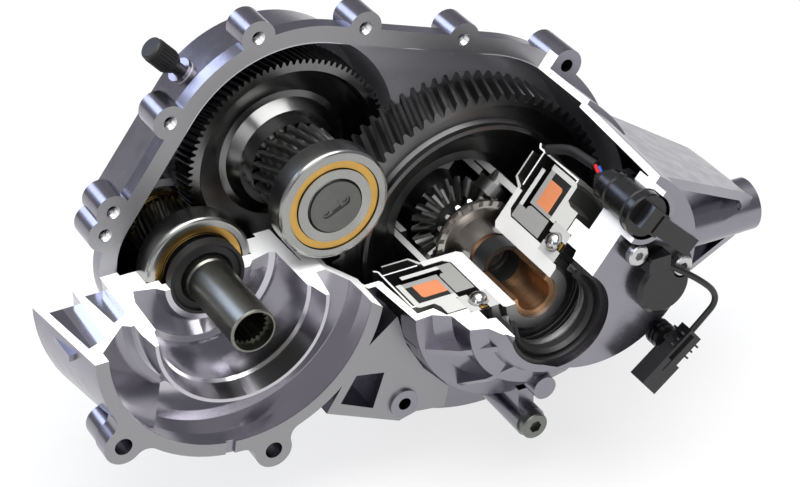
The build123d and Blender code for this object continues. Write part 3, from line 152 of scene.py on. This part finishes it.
def lamp(name, at, size, power, tint=(1, 1, 1)):
    data = bpy.data.lights.new(name, "AREA")
    data.shape = "RECTANGLE"
    data.size, data.size_y = size
    data.energy = power
    data.color = tint
    one = bpy.data.objects.new(name, data)
    one.location = at
    aim = LAMP_AIM - Vector(at)
    one.rotation_euler = aim.to_track_quat("-Z", "Y").to_euler()
    scene.collection.objects.link(one)


lamp("top_lamp", (0.1, -0.25, 1.5), (1.6, 1.2), 34)
lamp("left_lamp", (-1.4, -0.9, 0.7), (0.5, 1.4), 5)
lamp("front_lamp", (-0.2, -1.3, 1.1), (1.2, 0.8), 5)
lamp("rim_lamp", (-0.7, 1.2, 0.9), (1.0, 0.6), 9, (0.62, 0.72, 1.0))

# %% [markdown]
# The floor is a plain pale sheet just under the lowest point of the casing. It glows a
# little, so it stays near white without strong lamps, which the metal would mirror. It is
# staging and stays out of the part.

# %% Floor
FLOOR_REACH = 6
FLOOR_DROP = 0.0005
FLOOR_TONE = (0.18, 0.18, 0.18)
FLOOR_GLOW = 0.74
FLOOR_ROUGHNESS = 0.85

floor_mesh = bpy.data.meshes.new("floor")
form = bmesh.new()
bmesh.ops.create_grid(form, x_segments=1, y_segments=1, size=FLOOR_REACH)
for corner in form.verts:
    corner.co.z = cad_low.z - FLOOR_DROP
form.to_mesh(floor_mesh)
form.free()
floor = bpy.data.objects.new("floor", floor_mesh)
scene.collection.objects.link(floor)
pale = bpy.data.materials.new("pale_floor")
pale.use_nodes = True
sheet = pale.node_tree.nodes["Principled BSDF"].inputs
sheet["Base Color"].default_value = (*FLOOR_TONE, 1)
sheet["Roughness"].default_value = FLOOR_ROUGHNESS
sheet["Emission Color"].default_value = (1, 1, 1, 1)
sheet["Emission Strength"].default_value = FLOOR_GLOW
floor_mesh.materials.append(pale)
print("floor at", round(cad_low.z, 4))

# %% [markdown]
# ## Surfaces
# Every surface here is built from the same few steps, so small helpers come first: one
# starts a surface, one adds a node, and others give a grain that is the same size on
# every piece, because it reads Object coordinates, which are in metres.

# %% Helpers for surfaces
NOISE_LOW, NOISE_HIGH = 0.3, 0.7


class Surface:
    """A material under construction: its tree, its shader and the position it reads."""

    def __init__(self, name, colour, metal, rough):
        self.material = bpy.data.materials.new(name)
        self.material.use_nodes = True
        self.tree = self.material.node_tree
        self.shader = self.tree.nodes["Principled BSDF"]
        self.shader.inputs["Base Color"].default_value = (*colour, 1)
        self.shader.inputs["Metallic"].default_value = metal
        self.shader.inputs["Roughness"].default_value = rough
        self.where = self.tree.nodes.new("ShaderNodeTexCoord")
        self.bumps = None

    def node(self, kind, settings=(), **values):
        made = self.tree.nodes.new(kind)
        for key, value in dict(settings).items():
            setattr(made, key, value)
        for key, value in values.items():
            socket = made.inputs[int(key[1:])] if key[1:].isdigit() else made.inputs[key]
            if isinstance(value, bpy.types.NodeSocket):
                self.tree.links.new(value, socket)
            else:
                socket.default_value = value
        return made

    def maths(self, how, a, b):
        return self.node("ShaderNodeMath", {"operation": how}, i0=a, i1=b).outputs[0]

    def off_axis(self, axis):
        """The squared distance from an axis along Y, and the place along it."""
        spot = self.node("ShaderNodeSeparateXYZ", i0=self.where.outputs["Object"])
        across = self.maths("SUBTRACT", spot.outputs[0], axis[0])
        high = self.maths("SUBTRACT", spot.outputs[2], axis[1])
        squares = self.maths("ADD", self.maths("MULTIPLY", across, across),
                             self.maths("MULTIPLY", high, high))
        return squares, spot.outputs[1]

    def grain(self, size, detail=3.0, rough=0.55, of=None):
        """Noise whose blotches are about as wide as size, in metres."""
        source = of or self.where.outputs["Object"]
        made = self.node("ShaderNodeTexNoise", Vector=source, Scale=1 / size, Detail=detail)
        made.inputs["Roughness"].default_value = rough
        return made.outputs["Fac"]

    def spread(self, value, low, high):
        """Stretches the range that noise mostly keeps to until it runs from low to high."""
        made = self.node("ShaderNodeMapRange", i0=value, i3=low, i4=high)
        made.inputs[1].default_value, made.inputs[2].default_value = NOISE_LOW, NOISE_HIGH
        return made.outputs[0]

    def tint(self, mask, colour):
        """Lays another colour over the present one where the mask is one."""
        base = self.shader.inputs["Base Color"]
        mix = self.node("ShaderNodeMix", {"data_type": "RGBA"}, i0=mask)
        if base.is_linked:
            self.tree.links.new(base.links[0].from_socket, mix.inputs[6])
        else:
            mix.inputs[6].default_value = base.default_value
        mix.inputs[7].default_value = (*colour, 1)
        self.tree.links.new(mix.outputs[2], base)

    def shift(self, name, mask, value):
        """Moves a number of the shader towards value where the mask is one."""
        socket = self.shader.inputs[name]
        mix = self.node("ShaderNodeMix", i0=mask)
        if socket.is_linked:
            self.tree.links.new(socket.links[0].from_socket, mix.inputs[2])
        else:
            mix.inputs[2].default_value = socket.default_value
        mix.inputs[3].default_value = value
        self.tree.links.new(mix.outputs[0], socket)

    def bump(self, height, depth, strength=1.0):
        made = self.node("ShaderNodeBump", Height=height, Distance=depth, Strength=strength)
        if self.bumps:
            self.tree.links.new(self.bumps, made.inputs["Normal"])
        self.bumps = made.outputs["Normal"]
        self.tree.links.new(self.bumps, self.shader.inputs["Normal"])


print("helpers ready")

# %% [markdown]
# The cut faces are painted white on such show pieces, so that the eye reads the walls.
# The paint is a mask: a point is painted where it lies within a hair of a cut plane and
# its face looks along that plane's normal. Reading the place and the object's own normal
# keeps the paint on the face when the differential turns.

# %% Paint on the cut faces
PAINT_DEPTH = 0.00008
PAINT_ROUGHNESS = 0.5
FACING = 0.98


def on_plane(surface, point, normal):
    """One where the surface lies on the plane through point and faces along normal."""
    spot = surface.node("ShaderNodeVectorMath", {"operation": "DOT_PRODUCT"})
    surface.tree.links.new(surface.where.outputs["Object"], spot.inputs[0])
    spot.inputs[1].default_value = normal
    level = sum(a * b for a, b in zip(point, normal))
    near = surface.maths("COMPARE", spot.outputs["Value"], level)
    near.node.inputs[2].default_value = PAINT_DEPTH
    look = surface.node("ShaderNodeVectorMath", {"operation": "DOT_PRODUCT"})
    surface.tree.links.new(surface.where.outputs["Normal"], look.inputs[0])
    look.inputs[1].default_value = normal
    facing = surface.maths("GREATER_THAN", look.outputs["Value"], FACING)
    return surface.maths("MULTIPLY", near, facing)


def paint_cuts(surface, colour, level_with_input=False):
    """Paints the faces of the cut: the wedge over the output, and the lower step too."""
    ox, oz = OUTPUT_AXIS
    rising = (-sin(CUT_ANGLE), 0, cos(CUT_ANGLE))
    cuts = [((ox, 0, oz), (0, 0, 1)), ((ox, 0, oz), rising)]
    if level_with_input:
        run = Vector((SLOPE_TO[0] - SLOPE_FROM[0], 0, SLOPE_TO[1] - SLOPE_FROM[1])).normalized()
        cuts += [((0, 0, 0), (0, 0, 1))]
        cuts += [((SLOPE_FROM[0], 0, SLOPE_FROM[1]), (-run.z, 0, run.x))]
    mask = None
    for point, normal in cuts:
        here = on_plane(surface, point, normal)
        mask = here if mask is None else surface.maths("MAXIMUM", mask, here)
    surface.tint(mask, colour)
    surface.shift("Metallic", mask, 0.0)
    surface.shift("Roughness", mask, PAINT_ROUGHNESS)


CASTING_PAINT = (0.92, 0.92, 0.92)
PART_PAINT = (0.50, 0.50, 0.48)
print("paint", CASTING_PAINT, PART_PAINT)

# %% [markdown]
# Die-cast aluminium has a fine sandy skin, faint flow clouds, and a satin gloss. The split
# face and the bell's front are milled, so they are a plainer, duller grey. Inside the bell
# and the gear cavity the skin is painted lighter, as painted fill light where shade falls, and
# in the cavity it is also made less metallic, so it takes that light like a dull wall. The
# inside is found by place, as cylinders about the shafts, and in the cavity by facing its middle.

# %% Cast aluminium
INSIDE_FILL_LIGHT_TINT = (0.50, 0.49, 0.52)
MILLED = (0.29, 0.29, 0.30)
PAST_THE_PART = 0.2
INSIDES = ((INPUT_AXIS, 84.2 * MM, 0.4 * MM, 79 * MM), (LAY_AXIS, 81.6 * MM, 28 * MM),
           (OUTPUT_AXIS, 108.6 * MM, 29 * MM), (OUTPUT_AXIS, 75.8 * MM, -12.3 * MM),
           ((126.2 * MM, 8.2 * MM), 94.9 * MM, 29 * MM))
GEARBOX_MIDDLE = (126.2 * MM, 80 * MM, 8.2 * MM)


def within(surface, axis, radius, from_y, to_y=PAST_THE_PART):
    """One inside a cylinder about a shaft, between two depths."""
    squares, depth = surface.off_axis(axis)
    near = surface.maths("LESS_THAN", squares, radius * radius)
    behind = surface.maths("GREATER_THAN", depth, from_y)
    before = surface.maths("LESS_THAN", depth, to_y)
    return surface.maths("MULTIPLY", near, surface.maths("MULTIPLY", behind, before))


def cast_aluminium(name, cut, milled_levels):
    skin = Surface(name, (0.245, 0.237, 0.27), 1.0, 0.20)
    clouds = skin.grain(0.05, 4)
    skin.tint(skin.spread(clouds, 0, 0.5), (0.31, 0.30, 0.33))
    flow = skin.grain(0.012, 5)
    skin.shift("Roughness", skin.spread(flow, 0, 0.6), 0.34)
    skin.bump(skin.grain(0.0011, 2), 0.00005, 0.3)
    skin.bump(skin.grain(0.03, 1), 0.0006, 0.10)
    for level in milled_levels:
        milled = on_plane(skin, (0, level, 0), (0, -1, 0))
        skin.tint(milled, MILLED)
        skin.shift("Roughness", milled, 0.36)
    bell, *cavities = [within(skin, *place) for place in INSIDES]
    cavity_fill_light = cavities[0]
    for cavity in cavities[1:]:
        cavity_fill_light = skin.maths("MAXIMUM", cavity_fill_light, cavity)
    homeward = skin.node("ShaderNodeVectorMath", {"operation": "SUBTRACT"})
    homeward.inputs[0].default_value = GEARBOX_MIDDLE
    skin.tree.links.new(skin.where.outputs["Object"], homeward.inputs[1])
    look = skin.node("ShaderNodeVectorMath", {"operation": "DOT_PRODUCT"},
                     i0=skin.where.outputs["Normal"], i1=homeward.outputs[0])
    cavity_fill_light = skin.maths("MULTIPLY", cavity_fill_light, skin.maths("GREATER_THAN", look.outputs["Value"], 0.0))
    # Painted fill light: the inside of the bell and the gear cavity get a lighter tint than the
    # outer skin.
    skin.tint(skin.maths("MAXIMUM", bell, cavity_fill_light), INSIDE_FILL_LIGHT_TINT)
    skin.shift("Roughness", bell, 0.16)
    skin.shift("Metallic", cavity_fill_light, 0.3)
    if cut:
        paint_cuts(skin, CASTING_PAINT, True)
    return skin.material


casing_front_finish = cast_aluminium("casing_front_finish", True, (0.0, SPLIT_FACE))
casing_rear_finish = cast_aluminium("casing_rear_finish", False, (SPLIT_FACE,))
print("cast aluminium: 1.1 mm sand grain, 50 mm clouds")

# %% [markdown]
# Turned parts carry rings from the lathe tool. The rings are noise read along two numbers,
# the distance from the shaft's centre and the place along it, so they run round any face.

# %% Turning marks
def rings_about(surface, centre, pitch):
    """Noise that changes with radius and depth, but not round the shaft."""
    squares, depth = surface.off_axis(centre)
    spot = surface.node("ShaderNodeCombineXYZ", i0=surface.maths("SQRT", squares, 0.0), i1=depth)
    return surface.grain(pitch, 2, 0.6, spot.outputs[0])


def turned_steel(name, colour, rough, centre, paint=None, pitch=0.0007):
    """Steel with lathe rings; a part that is cut names its paint."""
    steel = Surface(name, colour, 1.0, rough)
    marks = rings_about(steel, centre, pitch)
    steel.bump(marks, 0.00002, 0.18)
    steel.shift("Roughness", steel.spread(marks, 0, 1), rough + 0.07)
    haze = steel.grain(0.015, 2)
    steel.tint(steel.spread(haze, 0, 0.35), tuple(0.72 * c for c in colour))
    if paint:
        paint_cuts(steel, paint)
    return steel.material


BRIGHT = (0.34, 0.34, 0.325)
DARK = (0.17, 0.17, 0.165)
OILED = (0.11, 0.11, 0.11)
print("steels", BRIGHT, DARK, OILED)

# %% [markdown]
# Gear teeth are ground and run in oil: nearly black, with a clear highlight along each
# flank. The film of oil is a thin coat on the shader.

# %% Oiled gear steel
def gear_steel(name, colour, centre, cut=False, rough=0.3):
    steel = Surface(name, colour, 1.0, rough)
    film = steel.grain(0.02, 2)
    steel.shift("Roughness", steel.spread(film, 0, 1), rough + 0.08)
    steel.tint(steel.spread(steel.grain(0.02, 3), 0, 0.5), tuple(1.6 * c for c in colour))
    steel.bump(rings_about(steel, centre, 0.0009), 0.00002, 0.12)
    steel.shader.inputs["Coat Weight"].default_value = 0.35
    steel.shader.inputs["Coat Roughness"].default_value = 0.18
    if cut:
        paint_cuts(steel, PART_PAINT)
    return steel.material


print("gear steel ready")

# %% [markdown]
# Plastics are moulded: a soft satin black or grey with a spark-eroded grain. Rubber is the
# same idea, darker and duller. Bronze and the winding copper are given their own grain.

# %% Plastics, rubber, bronze and enamel
def moulded(name, colour, rough, grain=0.0006):
    plastic = Surface(name, colour, 0.0, rough)
    plastic.bump(plastic.grain(grain, 2), 0.00004, 0.5)
    plastic.shift("Roughness", plastic.spread(plastic.grain(0.01, 3), 0, 0.7), rough + 0.15)
    plastic.tint(plastic.spread(plastic.grain(0.02, 3), 0, 0.4), tuple(1.35 * c for c in colour))
    return plastic.material


black_plastic = moulded("black_plastic", (0.005, 0.005, 0.0055), 0.20)
knob_plastic = moulded("knob_plastic", (0.010, 0.010, 0.010), 0.5)
black_rubber = moulded("black_rubber", (0.006, 0.006, 0.006), 0.45, 0.0009)
cable_black = moulded("cable_black", (0.006, 0.006, 0.006), 0.26, 0.0012)
potting = moulded("potting", (0.006, 0.006, 0.006), 0.6)
bobbin_grey = moulded("bobbin_grey", (0.27, 0.27, 0.265), 0.45)
bronze = turned_steel("bronze", (0.62, 0.36, 0.20), 0.26, OUTPUT_AXIS)
brass = turned_steel("brass", (0.60, 0.36, 0.10), 0.32, LAY_AXIS, pitch=0.0009)
yoke_white = turned_steel("yoke_white", (0.55, 0.55, 0.50), 0.36, OUTPUT_AXIS, (0.52, 0.52, 0.50))
copper = moulded("copper_enamel", (0.56, 0.20, 0.09), 0.4)
wire_red = moulded("wire_red", (0.42, 0.012, 0.010), 0.38)
wire_blue = moulded("wire_blue", (0.010, 0.10, 0.48), 0.38)
CAN_EDGE = 12 * MM
ZINC = (0.48, 0.48, 0.44)
CAN_PAINT = (0.85, 0.85, 0.83)


def banded_can():
    """The magnet's can: black at the back, and pale zinc over the yoke in front."""
    can = Surface("can_black", (0.010, 0.010, 0.010), 0.0, 0.4)
    can.bump(can.grain(0.0008, 2), 0.00002, 0.5)
    depth = can.node("ShaderNodeSeparateXYZ", i0=can.where.outputs["Object"]).outputs[1]
    zinc = can.maths("LESS_THAN", depth, CAN_EDGE)
    can.tint(zinc, ZINC)
    can.shift("Metallic", zinc, 0.6)
    paint_cuts(can, CAN_PAINT)
    return can.material


can_black = banded_can()
print("plastics ready")

# %% [markdown]
# Each solid of the frame gets its surface by name. The turned ones take the centre of the
# shaft that they sit on, so their rings run true.

# %% Dress the solids
DRAIN_AXIS = (175 * MM, -113 * MM)

DRESS = {
    casing_front_finish: ["front_casing"],
    casing_rear_finish: ["rear_casing"],
    turned_steel("input_shaft_steel", (0.20, 0.20, 0.175), 0.30, INPUT_AXIS): ["input_shaft"],
    turned_steel("input_ring_steel", BRIGHT, 0.2, INPUT_AXIS): [
        "input_bearing_outer_ring", "input_bearing_inner_rings"],
    turned_steel("lay_ring_steel", BRIGHT, 0.2, LAY_AXIS): [
        "layshaft_bearing_outer_ring", "layshaft_bearing_inner_rings"],
    turned_steel("output_ring_steel", BRIGHT, 0.25, OUTPUT_AXIS, (0.45, 0.45, 0.44)): [
        "output_bearing_outer_ring", "output_bearing_inner_ring", "rear_bearing_outer_rings",
        "differential_rear_inner_ring"],
    turned_steel("ball_steel", (0.5, 0.5, 0.5), 0.12, OUTPUT_AXIS): [
        "input_bearing_balls", "layshaft_bearing_balls", "output_bearing_balls"],
    brass: ["input_bearing_cages", "layshaft_bearing_cages", "output_bearing_cages"],
    gear_steel("layshaft_steel", DARK, LAY_AXIS): ["layshaft"],
    gear_steel("layshaft_gear_steel", (0.13, 0.13, 0.128), LAY_AXIS, rough=0.18): ["layshaft_gear"],
    turned_steel("end_disc_steel", (0.15, 0.15, 0.145), 0.4, LAY_AXIS): ["layshaft_end_disc"],
    gear_steel("ring_gear_steel", OILED, OUTPUT_AXIS, True): ["ring_gear"],
    gear_steel("case_steel", OILED, OUTPUT_AXIS, True, 0.34): ["differential_case"],
    gear_steel("bevel_steel", DARK, OUTPUT_AXIS): [
        "upper_planet_gear", "lower_planet_gear", "far_side_gear"],
    turned_steel("near_gear_steel", (0.42, 0.40, 0.375), 0.28, OUTPUT_AXIS): ["near_side_gear"],
    turned_steel("hub_steel", (0.30, 0.30, 0.29), 0.35, OUTPUT_AXIS, (0.64, 0.64, 0.63)): [
        "hub_flange"],
    turned_steel("pusher_steel", (0.24, 0.24, 0.23), 0.35, OUTPUT_AXIS, (0.27, 0.27, 0.26)): [
        "pusher_sleeve"],
    turned_steel("armature_steel", (0.06, 0.06, 0.06), 0.35, OUTPUT_AXIS, (0.55, 0.55, 0.54)): [
        "armature_plate"],
    turned_steel("pin_steel", BRIGHT, 0.25, OUTPUT_AXIS, PART_PAINT): ["cross_pin"],
    turned_steel("sensing_steel", (0.30, 0.30, 0.29), 0.35, OUTPUT_AXIS, PART_PAINT): [
        "sensing_disc"],
    bronze: ["hub_bush"],
    yoke_white: ["magnet_yoke"],
    copper: ["magnet_coil"],
    potting: ["magnet_potting"],
    bobbin_grey: ["coil_bobbin"],
    can_black: ["magnet_can"],
    black_rubber: ["input_seal", "output_seal", "rear_output_seal", "spacer_sleeve", "plug_o_ring",
                   "coil_lead_sleeve"],
    turned_steel("spring_steel", (0.40, 0.40, 0.40), 0.3, OUTPUT_AXIS): ["output_seal_spring"],
    black_plastic: ["connector_plug", "speed_sensor", "sensor_connector", "connector_clip",
                    "breather_stem"],
    knob_plastic: ["breather_cap"],
    wire_red: ["coil_wire_red"],
    wire_blue: ["coil_wire_blue"],
    turned_steel("screw_steel", (0.55, 0.55, 0.55), 0.22, OUTPUT_AXIS): [
        "sensor_screws", "flange_bolts"],
    turned_steel("drain_steel", (0.19, 0.20, 0.18), 0.28, DRAIN_AXIS): ["drain_plug"],
}
dressed = set()
for finish, names in DRESS.items():
    for name in names:
        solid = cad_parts[name]
        solid.data.materials.clear()
        solid.data.materials.append(finish)
        dressed.add(name)
print("dressed", len(dressed), "left", sorted(set(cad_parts) - dressed))

# %% [markdown]
# The sensor's cable is a stiff 4 mm lead. It leaves the sensor's face, swings out to the
# right and comes back down into the connector in its clip. A smooth NURBS line through few
# control points gives the bend a real cable takes; the points are the solid's own route.

# %% Sensor cable
CABLE_ROUTE = (
    (240.2, -69.0, 4.5),
    (262.0, -75.0, -9.0),
    (281.0, -76.0, -29.0),
    (267.0, -75.0, -44.0),
    (258.0, -75.0, -52.0),
)
CABLE_R = 2.0 * MM


def smooth_line(name, route, radius):
    """An open NURBS curve of order 3 that starts and ends on the route's own ends."""
    data = bpy.data.curves.new(name, "CURVE")
    data.dimensions = "3D"
    data.resolution_u = 12
    line = data.splines.new("NURBS")
    line.points.add(len(route) - 1)
    for spot, place in zip(line.points, route):
        spot.co = (*[v * MM for v in place], 1)
    line.order_u = 3
    line.use_endpoint_u = True
    data.bevel_depth = radius
    data.bevel_resolution = 6
    data.use_fill_caps = True
    made = bpy.data.objects.new(name, data)
    scene.collection.objects.link(made)
    return made


def as_mesh(made):
    """The mesh of an object once its curve or its nodes are worked out."""
    return bpy.data.meshes.new_from_object(
        made.evaluated_get(bpy.context.evaluated_depsgraph_get()))


def line_length(name, route):
    """Measures the same line with no thickness."""
    bare = smooth_line(name, route, 0)
    path = as_mesh(bare)
    spots = [v.co.copy() for v in path.vertices]
    bpy.data.objects.remove(bare)
    return sum((b - a).length for a, b in zip(spots, spots[1:]))


cable_length = line_length("cable_path", CABLE_ROUTE)
sensor_cable = smooth_line("sensor_cable_jacket", CABLE_ROUTE, CABLE_R)
sensor_cable.data.materials.append(cable_black)
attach(sensor_cable, "housing")
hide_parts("sensor_cable")
print("cable length", round(1000 * cable_length, 1), "mm")

# %% [markdown]
# The output bearing is shielded: a thin black disc with two raised beads closes the gap
# between its rings and hides the brass cage. It is open over the cut wedge, as the rings
# are. One small profile is swept round the axis in code, and its two ends are closed.

# %% Bearing shield
SHIELD_PROFILE = ((28.9, -26.5), (28.9, -27.1), (30.4, -27.1), (31.0, -27.8), (31.8, -27.8),
                  (32.3, -27.1), (34.6, -27.1), (35.0, -27.6), (36.4, -27.6), (36.4, -26.5))
SWEEP_STEPS = 116


def swept_ring(name, profile, centre, start, sweep, finish):
    """A profile of (radius, y) in mm swept round an axis along Y, with closed ends."""
    form = bmesh.new()
    rows = []
    for step in range(SWEEP_STEPS + 1):
        angle = start + sweep * step / SWEEP_STEPS
        rows.append([form.verts.new((centre[0] + r * MM * cos(angle), y * MM,
                                     centre[1] + r * MM * sin(angle))) for r, y in profile])
    count = len(profile)
    for row, after in zip(rows, rows[1:]):
        for k in range(count):
            form.faces.new((row[k], row[(k + 1) % count], after[(k + 1) % count], after[k]))
    form.faces.new(rows[0])
    form.faces.new(reversed(rows[-1]))
    bmesh.ops.recalc_face_normals(form, faces=form.faces)
    mesh = bpy.data.meshes.new(name)
    form.to_mesh(mesh)
    form.free()
    mesh.materials.append(finish)
    made = bpy.data.objects.new(name, mesh)
    scene.collection.objects.link(made)
    return made


shield = swept_ring("output_bearing_shield", SHIELD_PROFILE, OUTPUT_AXIS, pi, pi + CUT_ANGLE,
                    black_rubber)
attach(shield, "housing")
print("shield", round(2 * SHIELD_PROFILE[-1][0], 1), "mm across")

# %% [markdown]
# The flange holes are tapped, and their threads catch the light. A thread is a stack of
# small ridges, the same in every hole, so Geometry Nodes make it: one ridge ring is a
# circle with a slanted profile, it is repeated down the hole, and the stack is put on a
# point for each hole. Two holes are given by x and z, and the others by their angle in
# degrees and their distance from a shaft, all in millimetres.

# %% Threads in the flange holes
THREAD = {"Hole Radius": 0.00425, "Ridge": 0.0006, "Pitch": 0.00125, "Turns": 7}
RIDGE_DEPTH = 0.0006
RIDGE_SIDES = 32
INPUT_HOLES = ((-43.9, 41.6), (-50.0, 27.5))
LAY_HOLES = ((59, 94.5), (103, 94.5), (147, 94.5))
OUTPUT_HOLES = ((84, 119.5),)
THREAD_START = 0.0002


def thread_tree():
    """A node tree that puts a stack of ridges, facing along Y, on each point of its input."""
    tree = bpy.data.node_groups.new("hole_threads", "GeometryNodeTree")
    sockets = {"Geometry": "Geometry", "Hole Radius": "Float", "Ridge": "Float", "Pitch": "Float",
               "Turns": "Int", "Finish": "Material"}
    for name, kind in sockets.items():
        tree.interface.new_socket(name, in_out="INPUT", socket_type="NodeSocket" + kind)
    tree.interface.new_socket("Geometry", in_out="OUTPUT", socket_type="NodeSocketGeometry")
    start, end = tree.nodes.new("NodeGroupInput"), tree.nodes.new("NodeGroupOutput")

    def node(kind, **links):
        made = tree.nodes.new(kind)
        for key, value in links.items():
            socket = made.inputs[key.replace("_", " ")]
            if isinstance(value, bpy.types.NodeSocket):
                tree.links.new(value, socket)
            else:
                socket.default_value = value
        return made

    inner = node("ShaderNodeMath", Value=start.outputs["Hole Radius"])
    inner.operation = "SUBTRACT"
    tree.links.new(start.outputs["Ridge"], inner.inputs[1])
    ridge = node("GeometryNodeMeshCone", Vertices=RIDGE_SIDES, Depth=RIDGE_DEPTH,
                 Radius_Bottom=start.outputs["Hole Radius"], Radius_Top=inner.outputs[0])
    ridge.fill_type = "NONE"
    step = node("ShaderNodeCombineXYZ", Z=start.outputs["Pitch"])
    column = node("GeometryNodeMeshLine", Count=start.outputs["Turns"], Offset=step.outputs[0])
    stack = node("GeometryNodeInstanceOnPoints", Points=column.outputs["Mesh"],
                 Instance=ridge.outputs["Mesh"])
    holes = node("GeometryNodeInstanceOnPoints", Points=start.outputs["Geometry"],
                 Instance=stack.outputs["Instances"], Rotation=(-pi / 2, 0, 0))
    solid = node("GeometryNodeRealizeInstances", Geometry=holes.outputs["Instances"])
    coat = node("GeometryNodeSetMaterial", Geometry=solid.outputs["Geometry"],
                Material=start.outputs["Finish"])
    tree.links.new(coat.outputs["Geometry"], end.inputs["Geometry"])
    return tree


def grown(name, points, tree, settings):
    """Runs a node tree on bare points and returns the result as a plain mesh object."""
    seed_mesh = bpy.data.meshes.new(name + "_points")
    seed_mesh.from_pydata(points, [], [])
    seed = bpy.data.objects.new(name + "_points", seed_mesh)
    scene.collection.objects.link(seed)
    modifier = seed.modifiers.new("grow", "NODES")
    modifier.node_group = tree
    for item in tree.interface.items_tree:
        if item.item_type == "SOCKET" and item.in_out == "INPUT" and item.name in settings:
            modifier[item.identifier] = settings[item.name]
    mesh = as_mesh(seed)
    bpy.data.objects.remove(seed)
    made = bpy.data.objects.new(name, mesh)
    scene.collection.objects.link(made)
    return made


def round_axis(angle, radius, axis):
    return (axis[0] + radius * MM * cos(radians(angle)),
            axis[1] + radius * MM * sin(radians(angle)))


thread_steel = turned_steel("thread_steel", (0.62, 0.62, 0.62), 0.25, LAY_AXIS)
hole_places = [(x * MM, z * MM) for x, z in INPUT_HOLES]
hole_places += [round_axis(angle, radius, LAY_AXIS) for angle, radius in LAY_HOLES]
hole_places += [round_axis(angle, radius, OUTPUT_AXIS) for angle, radius in OUTPUT_HOLES]
threads = grown("flange_threads", [(x, SPLIT_FACE + THREAD_START, z) for x, z in hole_places],
                thread_tree(), {**THREAD, "Finish": thread_steel})
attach(threads, "housing")
print("threads in", len(hole_places), "holes,", len(threads.data.polygons), "faces")
